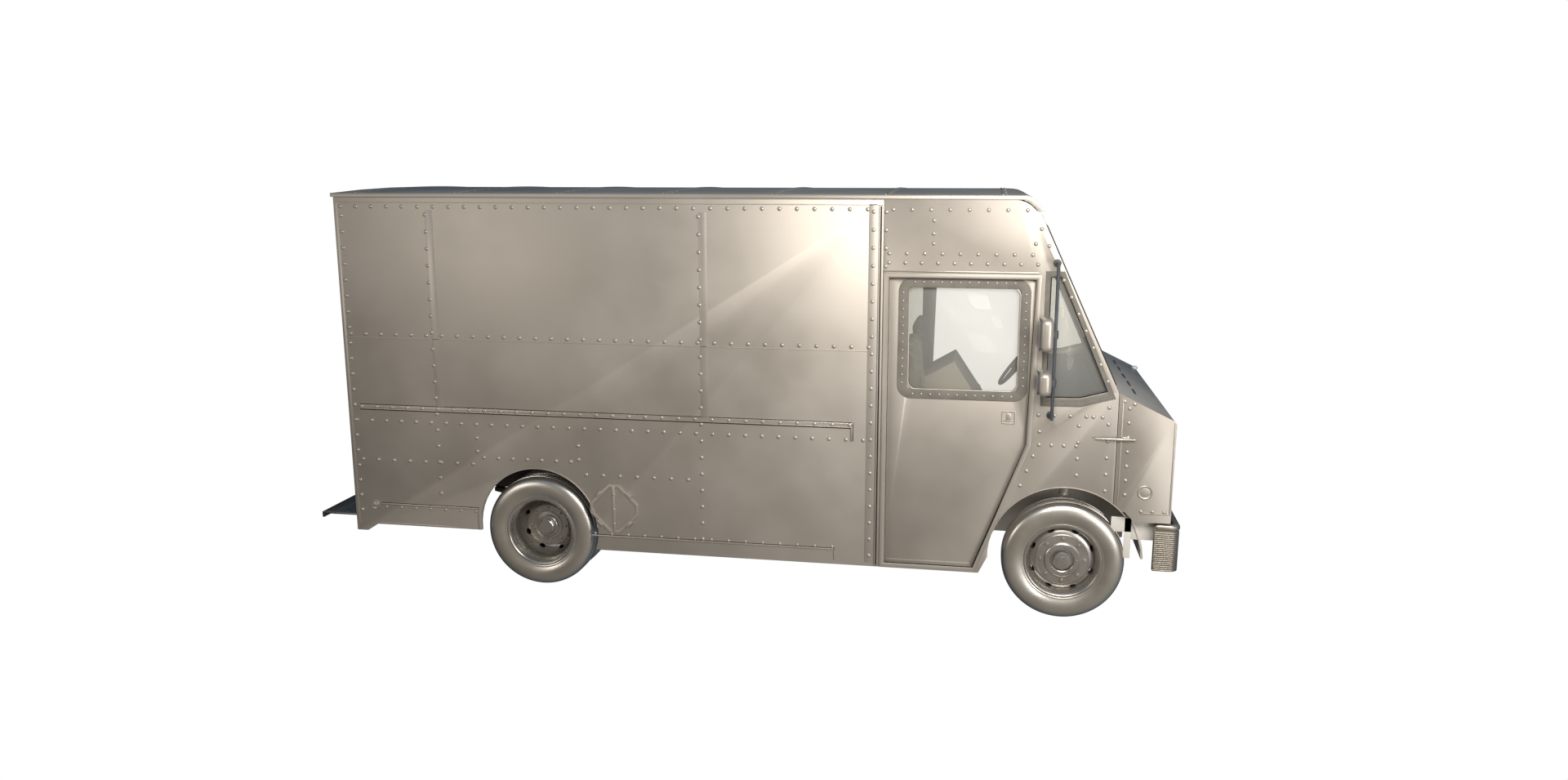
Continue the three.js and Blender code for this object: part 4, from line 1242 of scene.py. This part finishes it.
    def _mirror(self, side: Side) -> None:
        """Adds the rounded mirror shells with their silvered glass and rod clamps."""
        sign = side.value
        for row, low, high in (("upper", 1860, 2076), ("lower", 1570, 1728)):
            body = f"{side.label}_{row}_mirror"
            shell = Shaper().box((2162, sign * 1127, low), (2249, sign * 1303, high), bevel=36, segments=6)
            shell.finish(f"mirror_shell_{row}_{side.label}", body, [self.kit.palette.trim],
                         slot="trim_metal",
                         replaces=[f"mirror_{row}_{side.label}"], sharp=60)
            glass = Shaper().box((2157, sign * 1143, low + 18), (2164, sign * 1287, high - 18), bevel=2.5)
            glass.finish(f"mirror_glass_{row}_{side.label}", body, [self.kit.palette.mirror], slot="glass")
            rim = self._rounded(1134, 1296, low + 8, high - 8, 26, 5)
            Shaper().ring([(2166, sign * y, z) for y, z in rim], 10, (-7, 0, 0), bevel=2).finish(
                f"mirror_rim_{row}_{side.label}", body, [self.kit.palette.plastic], slot="dark_plastic")
            mid = (low + high) / 2
            clamp = Shaper().rod((2262, sign * 1215, mid - 26), (2262, sign * 1215, mid + 26), 19,
                                 segments=28)
            clamp.box((2240, sign * 1197, mid - 18), (2262, sign * 1233, mid + 18), bevel=4)
            clamp.finish(f"mirror_clamp_{row}_{side.label}", body, [self.kit.palette.plastic],
                         slot="dark_plastic",
                         bevel=1.5)

    def _strut(self, side: Side) -> None:
        """Adds the spring strut's sleeve that shows over the front tyre."""
        sign = side.value
        at = (2390, sign * 890, 0)
        sleeve = Shaper().spun([(0, 812), (34, 812), (38, 818), (38, 850), (41, 853), (41, 862), (38, 865),
                                (38, 922),
                                (0, 922)], at, (0, 0, 1), 36)
        sleeve.finish(f"strut_sleeve_{side.label}", "chassis", [self.kit.palette.trim], slot="trim_metal")

    def _liner(self, side: Side) -> None:
        """Adds the flat splash panel behind the front tyre, and the skirt that ties it to the frame horn."""
        sign = side.value
        panel = Shaper().box((1886, sign * 576, 424), (2832, sign * 581, 800), bevel=1.5)
        panel.box((2789, sign * 1000, 415), (2834, sign * 1006, 700), bevel=1.5)
        panel.box((2832, sign * 985, 545), (2984, sign * 992, 702), bevel=1.5)
        panel.box((2700, sign * 1000, 600), (2834, sign * 1006, 705), bevel=1.5)
        # The panel takes the lightened liner finish: painted light in the shaded wheel house.
        panel.finish(f"splash_panel_{side.label}", "chassis", [self.kit.palette.liner], slot="cab_lining")

    def _windshield_gasket(self) -> None:
        """Adds the windshield's gasket and its centre bar."""
        foot, head = Vector((self.foot[0], 0, self.foot[1])), Vector((self.head[0], 0, self.head[1]))
        up = (head - foot).normalized()
        out = Vector((up.z, 0, -up.x))
        corners = [(-1006, 46), (1006, 46), (1006, 1202), (-1006, 1202)]
        outline = [foot + up * s + Vector((0, y, 0)) - out for y, s in corners]
        gasket = Shaper().ring(outline, 32, out * 9, bevel=3)
        bar = [foot + up * s + Vector((0, y, 0)) - out * 12 for y,
               s in ((-16, 60), (16, 60), (16, 1190), (-16, 1190))]
        gasket.prism(bar, out * 20, bevel=3)
        gasket.finish("windshield_gasket", "chassis", [self.kit.palette.shadow], slot="dark_plastic")


@dataclass
class FrontEnd:
    """The tilting nose with its lamps, and the ribbed bumper."""

    kit: Kit
    half: float = 1075.0
    lamp_y: float = 790.0
    lamp_z: float = 1060.0
    rib_pitch: float = 14.0

    def build(self) -> None:
        """Dresses the nose and adds its lamps, latches, rivets and the bumper."""
        palette = self.kit.palette
        dress_node(self.kit, "nose", palette.skin, 9.0)
        dress_node(self.kit, "grille", palette.trim, 2.0)
        for side in Side:
            dress_node(self.kit, f"headlamp_{side.label}", palette.clear, 3.0)
            self._lamps(side)
            self._flank(side)
        self._bumper()
        vents = Shaper()
        for y in spread(-620, 620, 310):
            vents.box((2840, y - 90, 1493), (2856, y + 90, 1500), bevel=2)
        vents.finish("cowl_vent_bars", "nose", [palette.plastic], slot="dark_plastic")
        lamp = Shaper().ball((3046, 940, 1404), (26, 26, 18), rings=10)
        lamp.finish("hood_marker_left", "nose", [palette.clear], slot="lamp_lens")

    def _lamps(self, side: Side) -> None:
        """Adds a headlamp's bezel, and the amber turn signal in its frame under it."""
        sign = side.value
        at = (3070, sign * self.lamp_y, self.lamp_z)
        bezel = Shaper().spun([(98, -4), (100, 12), (106, 16), (114, 14), (120, 4), (120, -4)], at,
                              (1, 0, 0), 56,
                              closed=True)
        bezel.finish(f"headlamp_bezel_{side.label}", "nose", [self.kit.palette.trim], slot="trim_metal")
        signal = Shaper().box((3070, sign * 690, 878), (3088, sign * 890, 934), bevel=8, segments=3)
        signal.finish(f"turn_signal_{side.label}", "nose", [self.kit.palette.amber], slot="lamp_lens")
        frame = Shaper().box((3068, sign * 682, 870), (3078, sign * 898, 942), bevel=4)
        frame.finish(f"turn_signal_frame_{side.label}", "nose", [self.kit.palette.trim], slot="trim_metal")

    def _flank(self, side: Side) -> None:
        """Adds the nose's side rivets, edge folds, hood latch bar and round reflector."""
        sign = side.value
        label = side.label
        skin = sign * (self.half - 1)
        spots = [(2770, z) for z in spread(880, 1470, 98)] + [(x, 770) for x in spread(2880, 3030, 75)]
        spots += [(2736, 1516), (2800, 1500)]
        places = [towards((0, sign, 0), (x, sign * self.half, z)) for x,
                  z in spots if math.hypot(x - 2390, z - 400) > 540]
        Shaper().stamp(dome_template(14, 8), places).finish(
            f"nose_rivets_{label}", "nose", [self.kit.palette.trim], slot="trim_metal")
        folds = Shaper()
        folds.box((2722, skin, 800), (2731, sign * (self.half + 4), 1530), bevel=1.8)
        folds.box((2880, skin, 752), (3072, sign * (self.half + 5), 762), bevel=2)
        folds.box((3060, skin, 762), (3070, sign * (self.half + 4), 1384), bevel=1.8)
        folds.finish(f"nose_folds_{label}", "nose", [self.kit.palette.skin], slot="body_skin")
        y = sign * (self.half + 18)
        latch = Shaper().rod((2684, y, 1262), (2554, y, 1262), 12, 5).rod((2684, y, 1262), (2815, y, 1262),
                12, 6)
        latch.box((2728, sign * (self.half - 1), 1246), (2780, sign * (self.half + 14), 1278), bevel=5)
        latch.finish(f"hood_latch_{label}", "nose", [self.kit.palette.trim], slot="trim_metal")
        at = (2899, sign * self.half, 902)
        disc = Shaper().spun([(0, 5), (28, 6), (34, 4), (38, 6), (44, 8), (49, 5), (50, -1), (0, -1)], at,
                             (0, sign, 0), 48)
        disc.finish(f"nose_reflector_{label}", "nose", [self.kit.palette.skin], slot="body_skin")

    def _plan(self, grow: float, low: float) -> list[Point]:
        """The bumper's C-shaped plan at a height, grown outwards."""
        half, front, radius = self.half - 4 + grow, 3144 + grow, 58.0
        right: list[Flat] = [(2977, -half)]
        for i in range(9):
            angle = math.radians(-90 + 90 * i / 8)
            right.append((front - radius + radius * math.cos(angle),
                          -half + radius + radius * math.sin(angle)))
        outer = right + [(x, -y) for x, y in reversed(right)]
        inner = [(2977, half - 44), (3080, half - 44), (3102, half - 68), (3102, -half + 68),
                 (3080, -half + 44),
                 (2977, -half + 44)]
        return [(x, y, low) for x, y in outer + inner]

    def _bumper(self) -> None:
        """Builds the bumper: a wrapped channel with a rounded top and level ribs."""
        core = Shaper().prism(self._plan(-3, 356), (0, 0, 300))
        core.prism(self._plan(2, 632), (0, 0, 51), bevel=20, segments=6)
        for z in spread(362, 624, self.rib_pitch):
            core.prism(self._plan(1, z - 5), (0, 0, 10), bevel=2.5)
        core.finish("bumper_facing", "chassis", [self.kit.palette.bumper], slot="bumper_metal",
                    replaces=["front_bumper"], sharp=50)
        bolts = [towards((1, 0, 0), (3147, y, 520)) for y in (-430, -330, 330, 430)]
        Shaper().stamp(bolt_template(14, 7), bolts).finish(
            "bumper_bolts", "chassis", [self.kit.palette.trim], slot="trim_metal")


# ---- cab interior ----


@dataclass
class Seat:
    """One seat: a cloth-covered cushion and back, sized inside the frame's soft solids."""

    kit: Kit
    name: str
    middle: float
    body: str
    voxel_mm: float = 6.0

    def build(self, cushion: bpy.types.Mesh, back: bpy.types.Mesh) -> None:
        """Places copies of the simulated cushion and back.

        Args:
            cushion: the cushion's mesh, about the vehicle's middle plane.
            back: the back's mesh, about the vehicle's middle plane.
        """
        for part, source in (("cushion", cushion), ("back", back)):
            mesh = source.copy()
            mesh.transform(Matrix.Translation((0, self.middle * MM, RISE * MM)))
            piece = bpy.data.objects.new(f"{self.name}_seat_{part}_cover", mesh)
            bpy.context.scene.collection.objects.link(piece)
            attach(piece, self.body)
            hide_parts(f"{self.name}_seat_{part}")


@dataclass
class Upholstery:
    """Makes the pressed cushion meshes that every seat shares."""

    material: bpy.types.Material
    voxel_mm: float = 6.0
    pressure: float = 4.0
    frames: int = 20

    def cushion(self) -> bpy.types.Mesh:
        """The seat cushion."""
        shape = Shaper().box((1389, -216, 1164), (1806, 216, 1266), bevel=26, segments=4)
        return self._puff("cushion_form", shape)

    def back(self) -> bpy.types.Mesh:
        """The raked seat back."""
        outline = [(1303, -211, 1300), (1386, -211, 1300), (1333, -211, 1822), (1318, -211, 1842),
                   (1274, -211, 1842), (1260, -211, 1820)]
        shape = Shaper().prism(outline, (0, 422, 0), bevel=20, segments=4)
        return self._puff("back_form", shape)

    def _puff(self, name: str, shape: Shaper) -> bpy.types.Mesh:
        """Inflates a closed form as cloth, and smooths it.

        Args:
            name: the working object's name.
            shape: the closed form, slightly smaller than the finished piece.

        Returns:
            The pressed mesh.
        """
        bmesh.ops.remove_doubles(shape.bm, verts=shape.bm.verts[:], dist=0.01)
        bmesh.ops.recalc_face_normals(shape.bm, faces=shape.bm.faces[:])
        bmesh.ops.scale(shape.bm, vec=(MM, MM, MM), verts=shape.bm.verts[:])
        mesh = bpy.data.meshes.new(name)
        shape.bm.to_mesh(mesh)
        shape.bm.free()
        piece = bpy.data.objects.new(name, mesh)
        bpy.context.scene.collection.objects.link(piece)
        remesh = piece.modifiers.new("even_faces", "REMESH")
        remesh.mode = "VOXEL"
        remesh.voxel_size = self.voxel_mm * MM
        self._apply(piece)
        cloth = piece.modifiers.new("cover", "CLOTH")
        cloth.settings.use_pressure = True
        cloth.settings.uniform_pressure_force = self.pressure
        cloth.settings.effector_weights.gravity = 0.0
        cloth.settings.quality = 5
        cloth.point_cache.frame_start = 1
        cloth.point_cache.frame_end = self.frames
        rest = piece.data.copy()
        for frame_number in range(1, self.frames + 1):
            bpy.context.scene.frame_set(frame_number)
            bpy.context.view_layer.update()
        self._apply(piece)
        self._limit(piece.data, rest, 22 * MM)
        bpy.context.scene.frame_set(1)
        bpy.data.meshes.remove(rest)
        smooth = piece.modifiers.new("soft_folds", "SMOOTH")
        smooth.iterations = 3
        smooth.factor = 0.4
        rounding = piece.modifiers.new("rounding", "SUBSURF")
        rounding.levels = 1
        rounding.render_levels = 1
        self._apply(piece)
        result = piece.data
        result.materials.clear()
        result.materials.append(self.material)
        for polygon in result.polygons:
            polygon.use_smooth = True
        bpy.data.objects.remove(piece)
        return result

    def _apply(self, piece: bpy.types.Object) -> None:
        """Applies a piece's modifiers."""
        bpy.context.view_layer.update()
        view = bpy.context.evaluated_depsgraph_get()
        mesh = bpy.data.meshes.new_from_object(piece.evaluated_get(view))
        piece.modifiers.clear()
        piece.data = mesh

    def _limit(self, mesh: bpy.types.Mesh, rest: bpy.types.Mesh, most: float) -> None:
        """Holds each point within a distance of where it began."""
        for vert, start in zip(mesh.vertices, rest.vertices):
            step = vert.co - start.co
            if step.length > most:
                vert.co = start.co + step * (most / step.length)


@dataclass
class CabInterior:
    """Seats, steering wheel, dashboard fittings and linings."""

    kit: Kit
    wheel_centre: Point = (2075.0, 500.0, 1484.0)
    wheel_axis: Point = (-0.78, 0.0, 0.6258)
    wheel_radius: float = 205.0

    def build(self) -> None:
        """Dresses the interior nodes and builds the seats and controls."""
        palette = self.kit.palette
        # The lining finish is lightened: painted light in the floor's shaded wheel houses.
        for name, material, bevel in (
            ("dashboard", palette.plastic, 12.0), ("engine_cover", palette.lining, 8.0),
            ("cab_bulkhead", palette.lining, 3.0), ("driver_seat_base", palette.chassis, 3.0),
            ("brake_pedal", palette.chassis, 2.0), ("body_floor", palette.lining, 3.0),
        ):
            dress_node(self.kit, name, material, bevel)
        form = Upholstery(palette.vinyl)
        cushion, back = form.cushion(), form.back()
        Seat(self.kit, "driver", 540, "driver_seat").build(cushion, back)
        Seat(self.kit, "passenger", -540, "chassis").build(cushion, back)
        self._steering_wheel()
        self._gauges()

    def _steering_wheel(self) -> None:
        """Builds the steering wheel: moulded rim, three flat spokes and a horn boss."""
        centre, axis = Vector(self.wheel_centre), Vector(self.wheel_axis).normalized()
        section = [(self.wheel_radius + 14 * math.cos(a), 14 * math.sin(a))
                   for a in [math.tau * i / 14 for i in range(14)]]
        wheel = Shaper().spun(section, centre, axis, 72, closed=True)
        up = Vector((0, 1, 0)).cross(axis).normalized()
        for i in range(3):
            angle = math.tau * i / 3
            way = Vector((0, 1, 0)) * math.cos(angle) + up * math.sin(angle)
            wheel.rod(centre + way * 30 - axis * 4, centre + way * (self.wheel_radius - 6), 13, 9,
                      segments=16)
        wheel.spun([(0, -30), (34, -30), (40, -10), (52, 2), (54, 12), (48, 20), (30, 25), (0, 26)], centre,
                   axis, 48)
        wheel.finish("steering_wheel_moulded", "steering_wheel", [self.kit.palette.plastic],
                     slot="dark_plastic",
                     replaces=["steering_wheel"], sharp=30)

    def _gauges(self) -> None:
        """Adds the instrument pod with round gauges, and a glovebox lid."""
        pod = Shaper().box((2230, 330, 1496), (2330, 670, 1560), bevel=18, segments=4)
        pod.finish("instrument_pod", "chassis", [self.kit.palette.plastic], slot="dark_plastic")
        dials = Shaper()
        for y in (400, 500, 600):
            dials.spun([(0, 0), (30, 0), (36, 6), (38, 3), (38, -3), (0, -3)], (2229, y, 1530), (-1, 0, 0),
                       32)
        dials.finish("instrument_dials", "chassis", [self.kit.palette.clear], slot="glass")
        lid = Shaper().box((2196, -720, 1290), (2207, -330, 1440), bevel=4)
        lid.box((2188, -560, 1415), (2197, -490, 1428), bevel=3)
        lid.finish("parcel_tray_lid", "chassis", [self.kit.palette.plastic], slot="dark_plastic")


# ---- rear end and underbody ----


@dataclass
class RearEnd:
    """Rear doors with hinges and lock rods, lamps, bumper step tread and grab handles."""

    kit: Kit
    face: float = -2855.0
    hinge_x: float = -2866.0
    hinge_y: float = 790.0

    def build(self) -> None:
        """Dresses the rear nodes and adds their fittings."""
        palette = self.kit.palette
        dress_node(self.kit, "rear_portal", palette.skin, 3.0)
        dress_node(self.kit, "rear_step", palette.tread, 3.0)
        for side in Side:
            dress_node(self.kit, f"rear_door_{side.label}", palette.skin, 4.0)
            self._door(side)
            self._lamps(side)
        self._frame()

    def _door(self, side: Side) -> None:
        """Adds a rear door's pressed panel, window, hinges, lock rod and seals."""
        sign = side.value
        label = side.label
        body = f"{label}_rear_door"
        panel = Shaper()
        for low, high in ((870, 1560),):
            frame_line = [(self.face + 1, sign * y, z) for y,
                          z in ((80, low), (700, low), (700, high), (80, high))]
            panel.ring(frame_line, 14, (-7, 0, 0), bevel=2.5)
        for z in (1040, 1215, 1390):
            panel.box((self.face - 6, sign * 110, z - 16), (self.face + 2, sign * 670, z + 16), bevel=5,
                      segments=3)
        panel.finish(f"rear_door_pressing_{label}", body, [self.kit.palette.skin], slot="body_skin")
        outline = [(self.face + 1, sign * y, z) for y,
                   z in ((130, 1700), (650, 1700), (650, 2330), (130, 2330))]
        Shaper().ring(outline, 40, (-9, 0, 0), bevel=4).finish(
            f"rear_window_gasket_{label}", body, [self.kit.palette.rubber], slot="dark_plastic")
        # The pane is an opaque near-black sheet: painted shade of the unlit body behind the glass.
        pane = Shaper().box((self.face - 4, sign * 166, 1736), (self.face + 1, sign * 614, 2294), bevel=1)
        pane.finish(f"rear_window_{label}", body, [self.kit.palette.shadow], slot="glass")
        hinges = Shaper()
        for z in (960, 1650, 2340):
            hinges.rod((self.hinge_x, sign * self.hinge_y, z - 50),
                       (self.hinge_x, sign * self.hinge_y, z + 50), 8,
                       segments=24)
            hinges.box((self.hinge_x - 3, sign * 640, z - 26),
                       (self.hinge_x + 3, sign * self.hinge_y, z + 26), bevel=2)
            hinges.box((self.hinge_x - 2, sign * 650, z - 22), (self.face + 1, sign * 764, z + 22), bevel=2)
            bolts = [towards((-1, 0, 0), (self.hinge_x - 3, sign * y, z)) for y in (670, 715, 760)]
            hinges.stamp(bolt_template(8, 5), bolts)
        hinges.finish(f"rear_hinges_{label}", body, [self.kit.palette.trim], slot="trim_metal")
        rod = Shaper()
        if side is Side.RIGHT:
            rod.rod((self.face - 22, sign * 60, 850), (self.face - 22, sign * 60, 2440), 11, segments=20)
            for z in (860, 1250, 1900, 2430):
                rod.box((self.face - 36, sign * 60 - 24, z - 16), (self.face + 1, sign * 60 + 24, z + 16),
                        bevel=5)
            rod.box((self.face - 38, sign * 60 - 12, 1330), (self.face - 14, sign * 60 + 12, 1370), bevel=4)
            rod.rod((self.face - 40, sign * 60, 1350), (self.face - 40, sign * 280, 1350), 9, 7)
            rod.box((self.face - 46, sign * 255, 1332), (self.face + 1, sign * 285, 1368), bevel=5)
        else:
            rod.box((self.face - 12, sign * 40, 1300), (self.face + 1, sign * 130, 1400), bevel=6)
            rod.rod((self.face - 30, sign * 85, 1320), (self.face - 30, sign * 85, 1380), 8)
            rod.box((self.face - 34, sign * 78, 1318), (self.face, sign * 92, 1328), bevel=2)
            rod.box((self.face - 34, sign * 78, 1372), (self.face, sign * 92, 1382), bevel=2)
        rod.finish(f"rear_lock_{label}", body, [self.kit.palette.trim], slot="trim_metal")
        heads = [towards((-1, 0, 0), (self.face, sign * y, z)) for y in (32, 735) for z in spread(1600,
                2440, 120)]
        Shaper().stamp(dome_template(9, 5), heads).finish(
            f"rear_door_rivets_{label}", body, [self.kit.palette.trim], slot="trim_metal")

    def _lamps(self, side: Side) -> None:
        """Adds the stop, turn and reversing lamps in their shared housing, and a grab handle."""
        sign = side.value
        label = side.label
        house = Shaper().box((self.face - 14, sign * 870, 900), (self.face + 1, sign * 990, 1330), bevel=8,
                             segments=3)
        house.finish(f"tail_lamp_housing_{label}", "chassis", [self.kit.palette.trim], slot="trim_metal")
        for name, z, material in (("stop", 1255, self.kit.palette.red),
                                  ("turn", 1115, self.kit.palette.amber),
                                  ("reverse", 975, self.kit.palette.clear)):
            lens = Shaper().spun([(0, 14), (22, 13), (40, 9), (49, 3), (51, 0), (0, 0)],
                                 (self.face - 12, sign * 930, z), (-1, 0, 0), 40)
            lens.finish(f"{name}_lens_{label}", "chassis", [material], slot="lamp_lens")
        grab = [(self.face, sign * 860, 1480), (self.face - 48, sign * 860, 1490),
                (self.face - 52, sign * 860, 1530),
                (self.face - 52, sign * 860, 1930), (self.face - 48, sign * 860, 1970),
                (self.face, sign * 860, 1980)]
        Shaper().pipe(grab, 13, segments=4, bend=True).finish(
            f"grab_handle_{label}", "chassis", [self.kit.palette.trim], slot="trim_metal")

    def _frame(self) -> None:
        """Adds the gutter over the doorway, portal rivets, the plate holder and the step's tread bars."""
        gutter = Shaper().box((self.face - 16, -850, 2560), (self.face + 1, 850, 2574), bevel=4)
        gutter.finish("rear_gutter", "chassis", [self.kit.palette.skin], slot="body_skin")
        heads = [towards((-1, 0, 0), (self.face, y, z)) for y in (-1035, -835, 835, 1035)
                 for z in spread(640, 2690, 128) if not (abs(y) == 835 and 1430 < z < 2030)]
        heads += [towards((-1, 0, 0), (self.face, y, 2690)) for y in spread(-960, 960, 120)]
        Shaper().stamp(dome_template(12, 7), heads).finish(
            "rear_portal_rivets", "chassis", [self.kit.palette.trim], slot="trim_metal")
        plate = Shaper().box((self.face - 8, -690, 660), (self.face + 1, -360, 780), bevel=6)
        plate.box((self.face - 26, -560, 770), (self.face + 1, -490, 790), bevel=5)
        plate.finish("blank_plate_holder", "chassis", [self.kit.palette.trim], slot="trim_metal")
        bars = Shaper()
        for x in spread(-3128, -2896, 29):
            bars.box((x - 4, -1040, 438), (x + 4, 1040, 444), bevel=2)
        bars.finish("step_tread_bars", "chassis", [self.kit.palette.tread], slot="trim_metal")


@dataclass
class Underbody:
    """Frame, springs, driveline and exhaust."""

    kit: Kit

    def build(self) -> None:
        """Dresses the chassis nodes and adds the exhaust, spring clips and tank straps."""
        palette = self.kit.palette
        names = ["ladder_frame", "fuel_tank", "engine", "front_axle_beam", "rear_axle_housing", "driveshaft",
                 "tie_rod", "knuckle_left", "knuckle_right"]
        for name in names:
            dress_node(self.kit, name, palette.chassis, 3.0)
        exhaust = Shaper().pipe([(1500, 250, 560), (900, 300, 560), (500, 560, 560), (300, 600, 540)], 30,
                                6, bend=True)
        exhaust.spun([(0, 0), (34, 0), (92, 30), (96, 50), (96, 700), (92, 720), (34, 750), (0, 750)],
                     (320, 600, 540), (-1, 0, 0), 40)
        exhaust.pipe([(-420, 600, 540), (-620, 620, 520), (-760, 800, 420), (-790, 1000, 380)], 30, 6,
                     bend=True)
        exhaust.finish("exhaust", "chassis", [palette.chassis], slot="chassis_paint")
        clips = Shaper()
        for side in Side:
            for x in (-1430, -1290):
                for dy in (-48, 48):
                    y = side.value * (405 + dy)
                    clips.rod((x, y, 330), (x, y, 500), 9, segments=12)
        clips.finish("spring_clips", "chassis", [palette.trim], slot="chassis_paint")
        straps = Shaper()
        for x in (-500, -250, 0):
            straps.box((x - 18, -964, 336), (x + 18, -456, 344), bevel=1.5)
            straps.box((x - 18, -966, 340), (x + 18, -960, 690), bevel=1.5)
        straps.finish("tank_straps", "chassis", [palette.trim], slot="chassis_paint")


# ---- studio ----


@dataclass
class Studio:
    """A white sweep with one large soft source at the front quarter, and the camera."""

    eye: Point = (1.798, -8.622, 3.011 + RISE * MM)
    pitch: float = -11.04
    yaw: float = 10.09
    lens: float = 25.86

    def build(self) -> None:
        """Sets up the world, lights, camera and view."""
        self._world()
        self._lights()
        camera = bpy.data.cameras.new("camera")
        camera.lens = self.lens
        camera.sensor_width = 36.0
        camera.sensor_fit = "HORIZONTAL"
        camera.dof.use_dof = False
        holder = bpy.data.objects.new("camera", camera)
        holder.location = self.eye
        holder.rotation_euler = (math.radians(90 + self.pitch), 0.0, math.radians(self.yaw))
        bpy.context.scene.collection.objects.link(holder)
        bpy.context.scene.camera = holder
        bpy.context.scene.view_settings.view_transform = "Standard"
        bpy.context.scene.view_settings.look = "None"

    def _world(self) -> None:
        """A white backdrop to the eye, and a graded sky to everything else."""
        world = bpy.data.worlds.new("studio")
        world.use_nodes = True
        bpy.context.scene.world = world
        tree = world.node_tree
        tree.nodes.clear()
        place = add_node(tree, "TexCoord").outputs["Generated"]
        split = add_node(tree, "SeparateXYZ", links={0: place})
        side = add_node(tree, "MapRange", {"From Min": 0.75, "From Max": -0.75},
                        {"Value": split.outputs["Y"]})
        front = add_node(tree, "MapRange", {"From Min": -0.9, "From Max": 0.9},
                         {"Value": split.outputs["X"]})
        warm = colour_ramp(tree, side.outputs["Result"], [(0.0, "3c5066"), (0.5, "7b8893"), (1.0, "b9b2a8")])
        along = colour_ramp(tree, front.outputs["Result"], [(0.0, "808080"), (1.0, "ffffff")])
        sky = add_node(tree, "Mix", {"data_type": "RGBA", "blend_type": "MULTIPLY"})
        sky.inputs[0].default_value = 1.0
        tree.links.new(warm.outputs["Color"], sky.inputs[6])
        tree.links.new(along.outputs["Color"], sky.inputs[7])
        height = add_node(tree, "MapRange", {"From Min": 0.25, "From Max": 0.75},
                          {"Value": split.outputs["Z"]})
        cool = add_node(tree, "Mix", {"data_type": "RGBA"}, {0: height.outputs["Result"], 6: sky.outputs[2]})
        cool.inputs[7].default_value = srgb("8398ad")
        lit = add_node(tree, "Background", {"Strength": 0.85}, {"Color": cool.outputs[2]})
        seen = add_node(tree, "Background", {"Color": (1.0, 1.0, 1.0, 1.0), "Strength": 1.0})
        eye = add_node(tree, "LightPath")
        mixed = add_node(tree, "MixShader", links={0: eye.outputs["Is Camera Ray"], 1: lit.outputs[0],
                                                   2: seen.outputs[0]})
        add_node(tree, "OutputWorld", links={"Surface": mixed.outputs[0]})

    def _lights(self) -> None:
        """One large warm softbox by the cab, a dim fill by the rear, and a cool fill low at the front."""
        self._panel("key_softbox", (2.7, -4.9, 4.1), (1.9, -1.0, 2.0), (3.0, 2.0), 240.0, (1.0, 0.97, 0.92))
        self._panel("rear_fill", (-6.5, -7.5, 3.0), (-2.0, 0.0, 1.2), (4.0, 3.0), 120.0, (1.0, 0.95, 0.9))
        self._panel("front_fill", (6.0, -6.5, 1.4), (2.6, -1.0, 1.0), (3.0, 2.4), 130.0, (0.97, 0.98, 1.0))

    def _panel(self, name: str, at: Point, to: Point, size: Flat, watts: float,
               colour: tuple[float, float, float]) -> None:
        """Adds a soft light panel that the camera can't see."""
        light = bpy.data.lights.new(name, "AREA")
        light.shape = "RECTANGLE"
        light.size, light.size_y = size
        light.energy = watts
        light.color = colour
        holder = bpy.data.objects.new(name, light)
        holder.location = at
        holder.rotation_euler = (Vector(to) - Vector(at)).to_track_quat("-Z", "Y").to_euler()
        holder.visible_camera = False
        bpy.context.scene.collection.objects.link(holder)


def main() -> None:
    """Builds the dressed vehicle and its studio."""
    logging.basicConfig(level=logging.INFO, format="%(name)s: %(message)s")
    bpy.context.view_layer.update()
    kit = Kit(Palette(), frame["nodes"])
    for assembly in (RunningGear(kit), CargoBody(kit), CabDressing(kit), FrontEnd(kit), CabInterior(kit),
                     RearEnd(kit), Underbody(kit)):
        assembly.build()
        LOG.info("%s built", type(assembly).__name__)
    Studio().build()


if __name__ == "__main__":
    main()
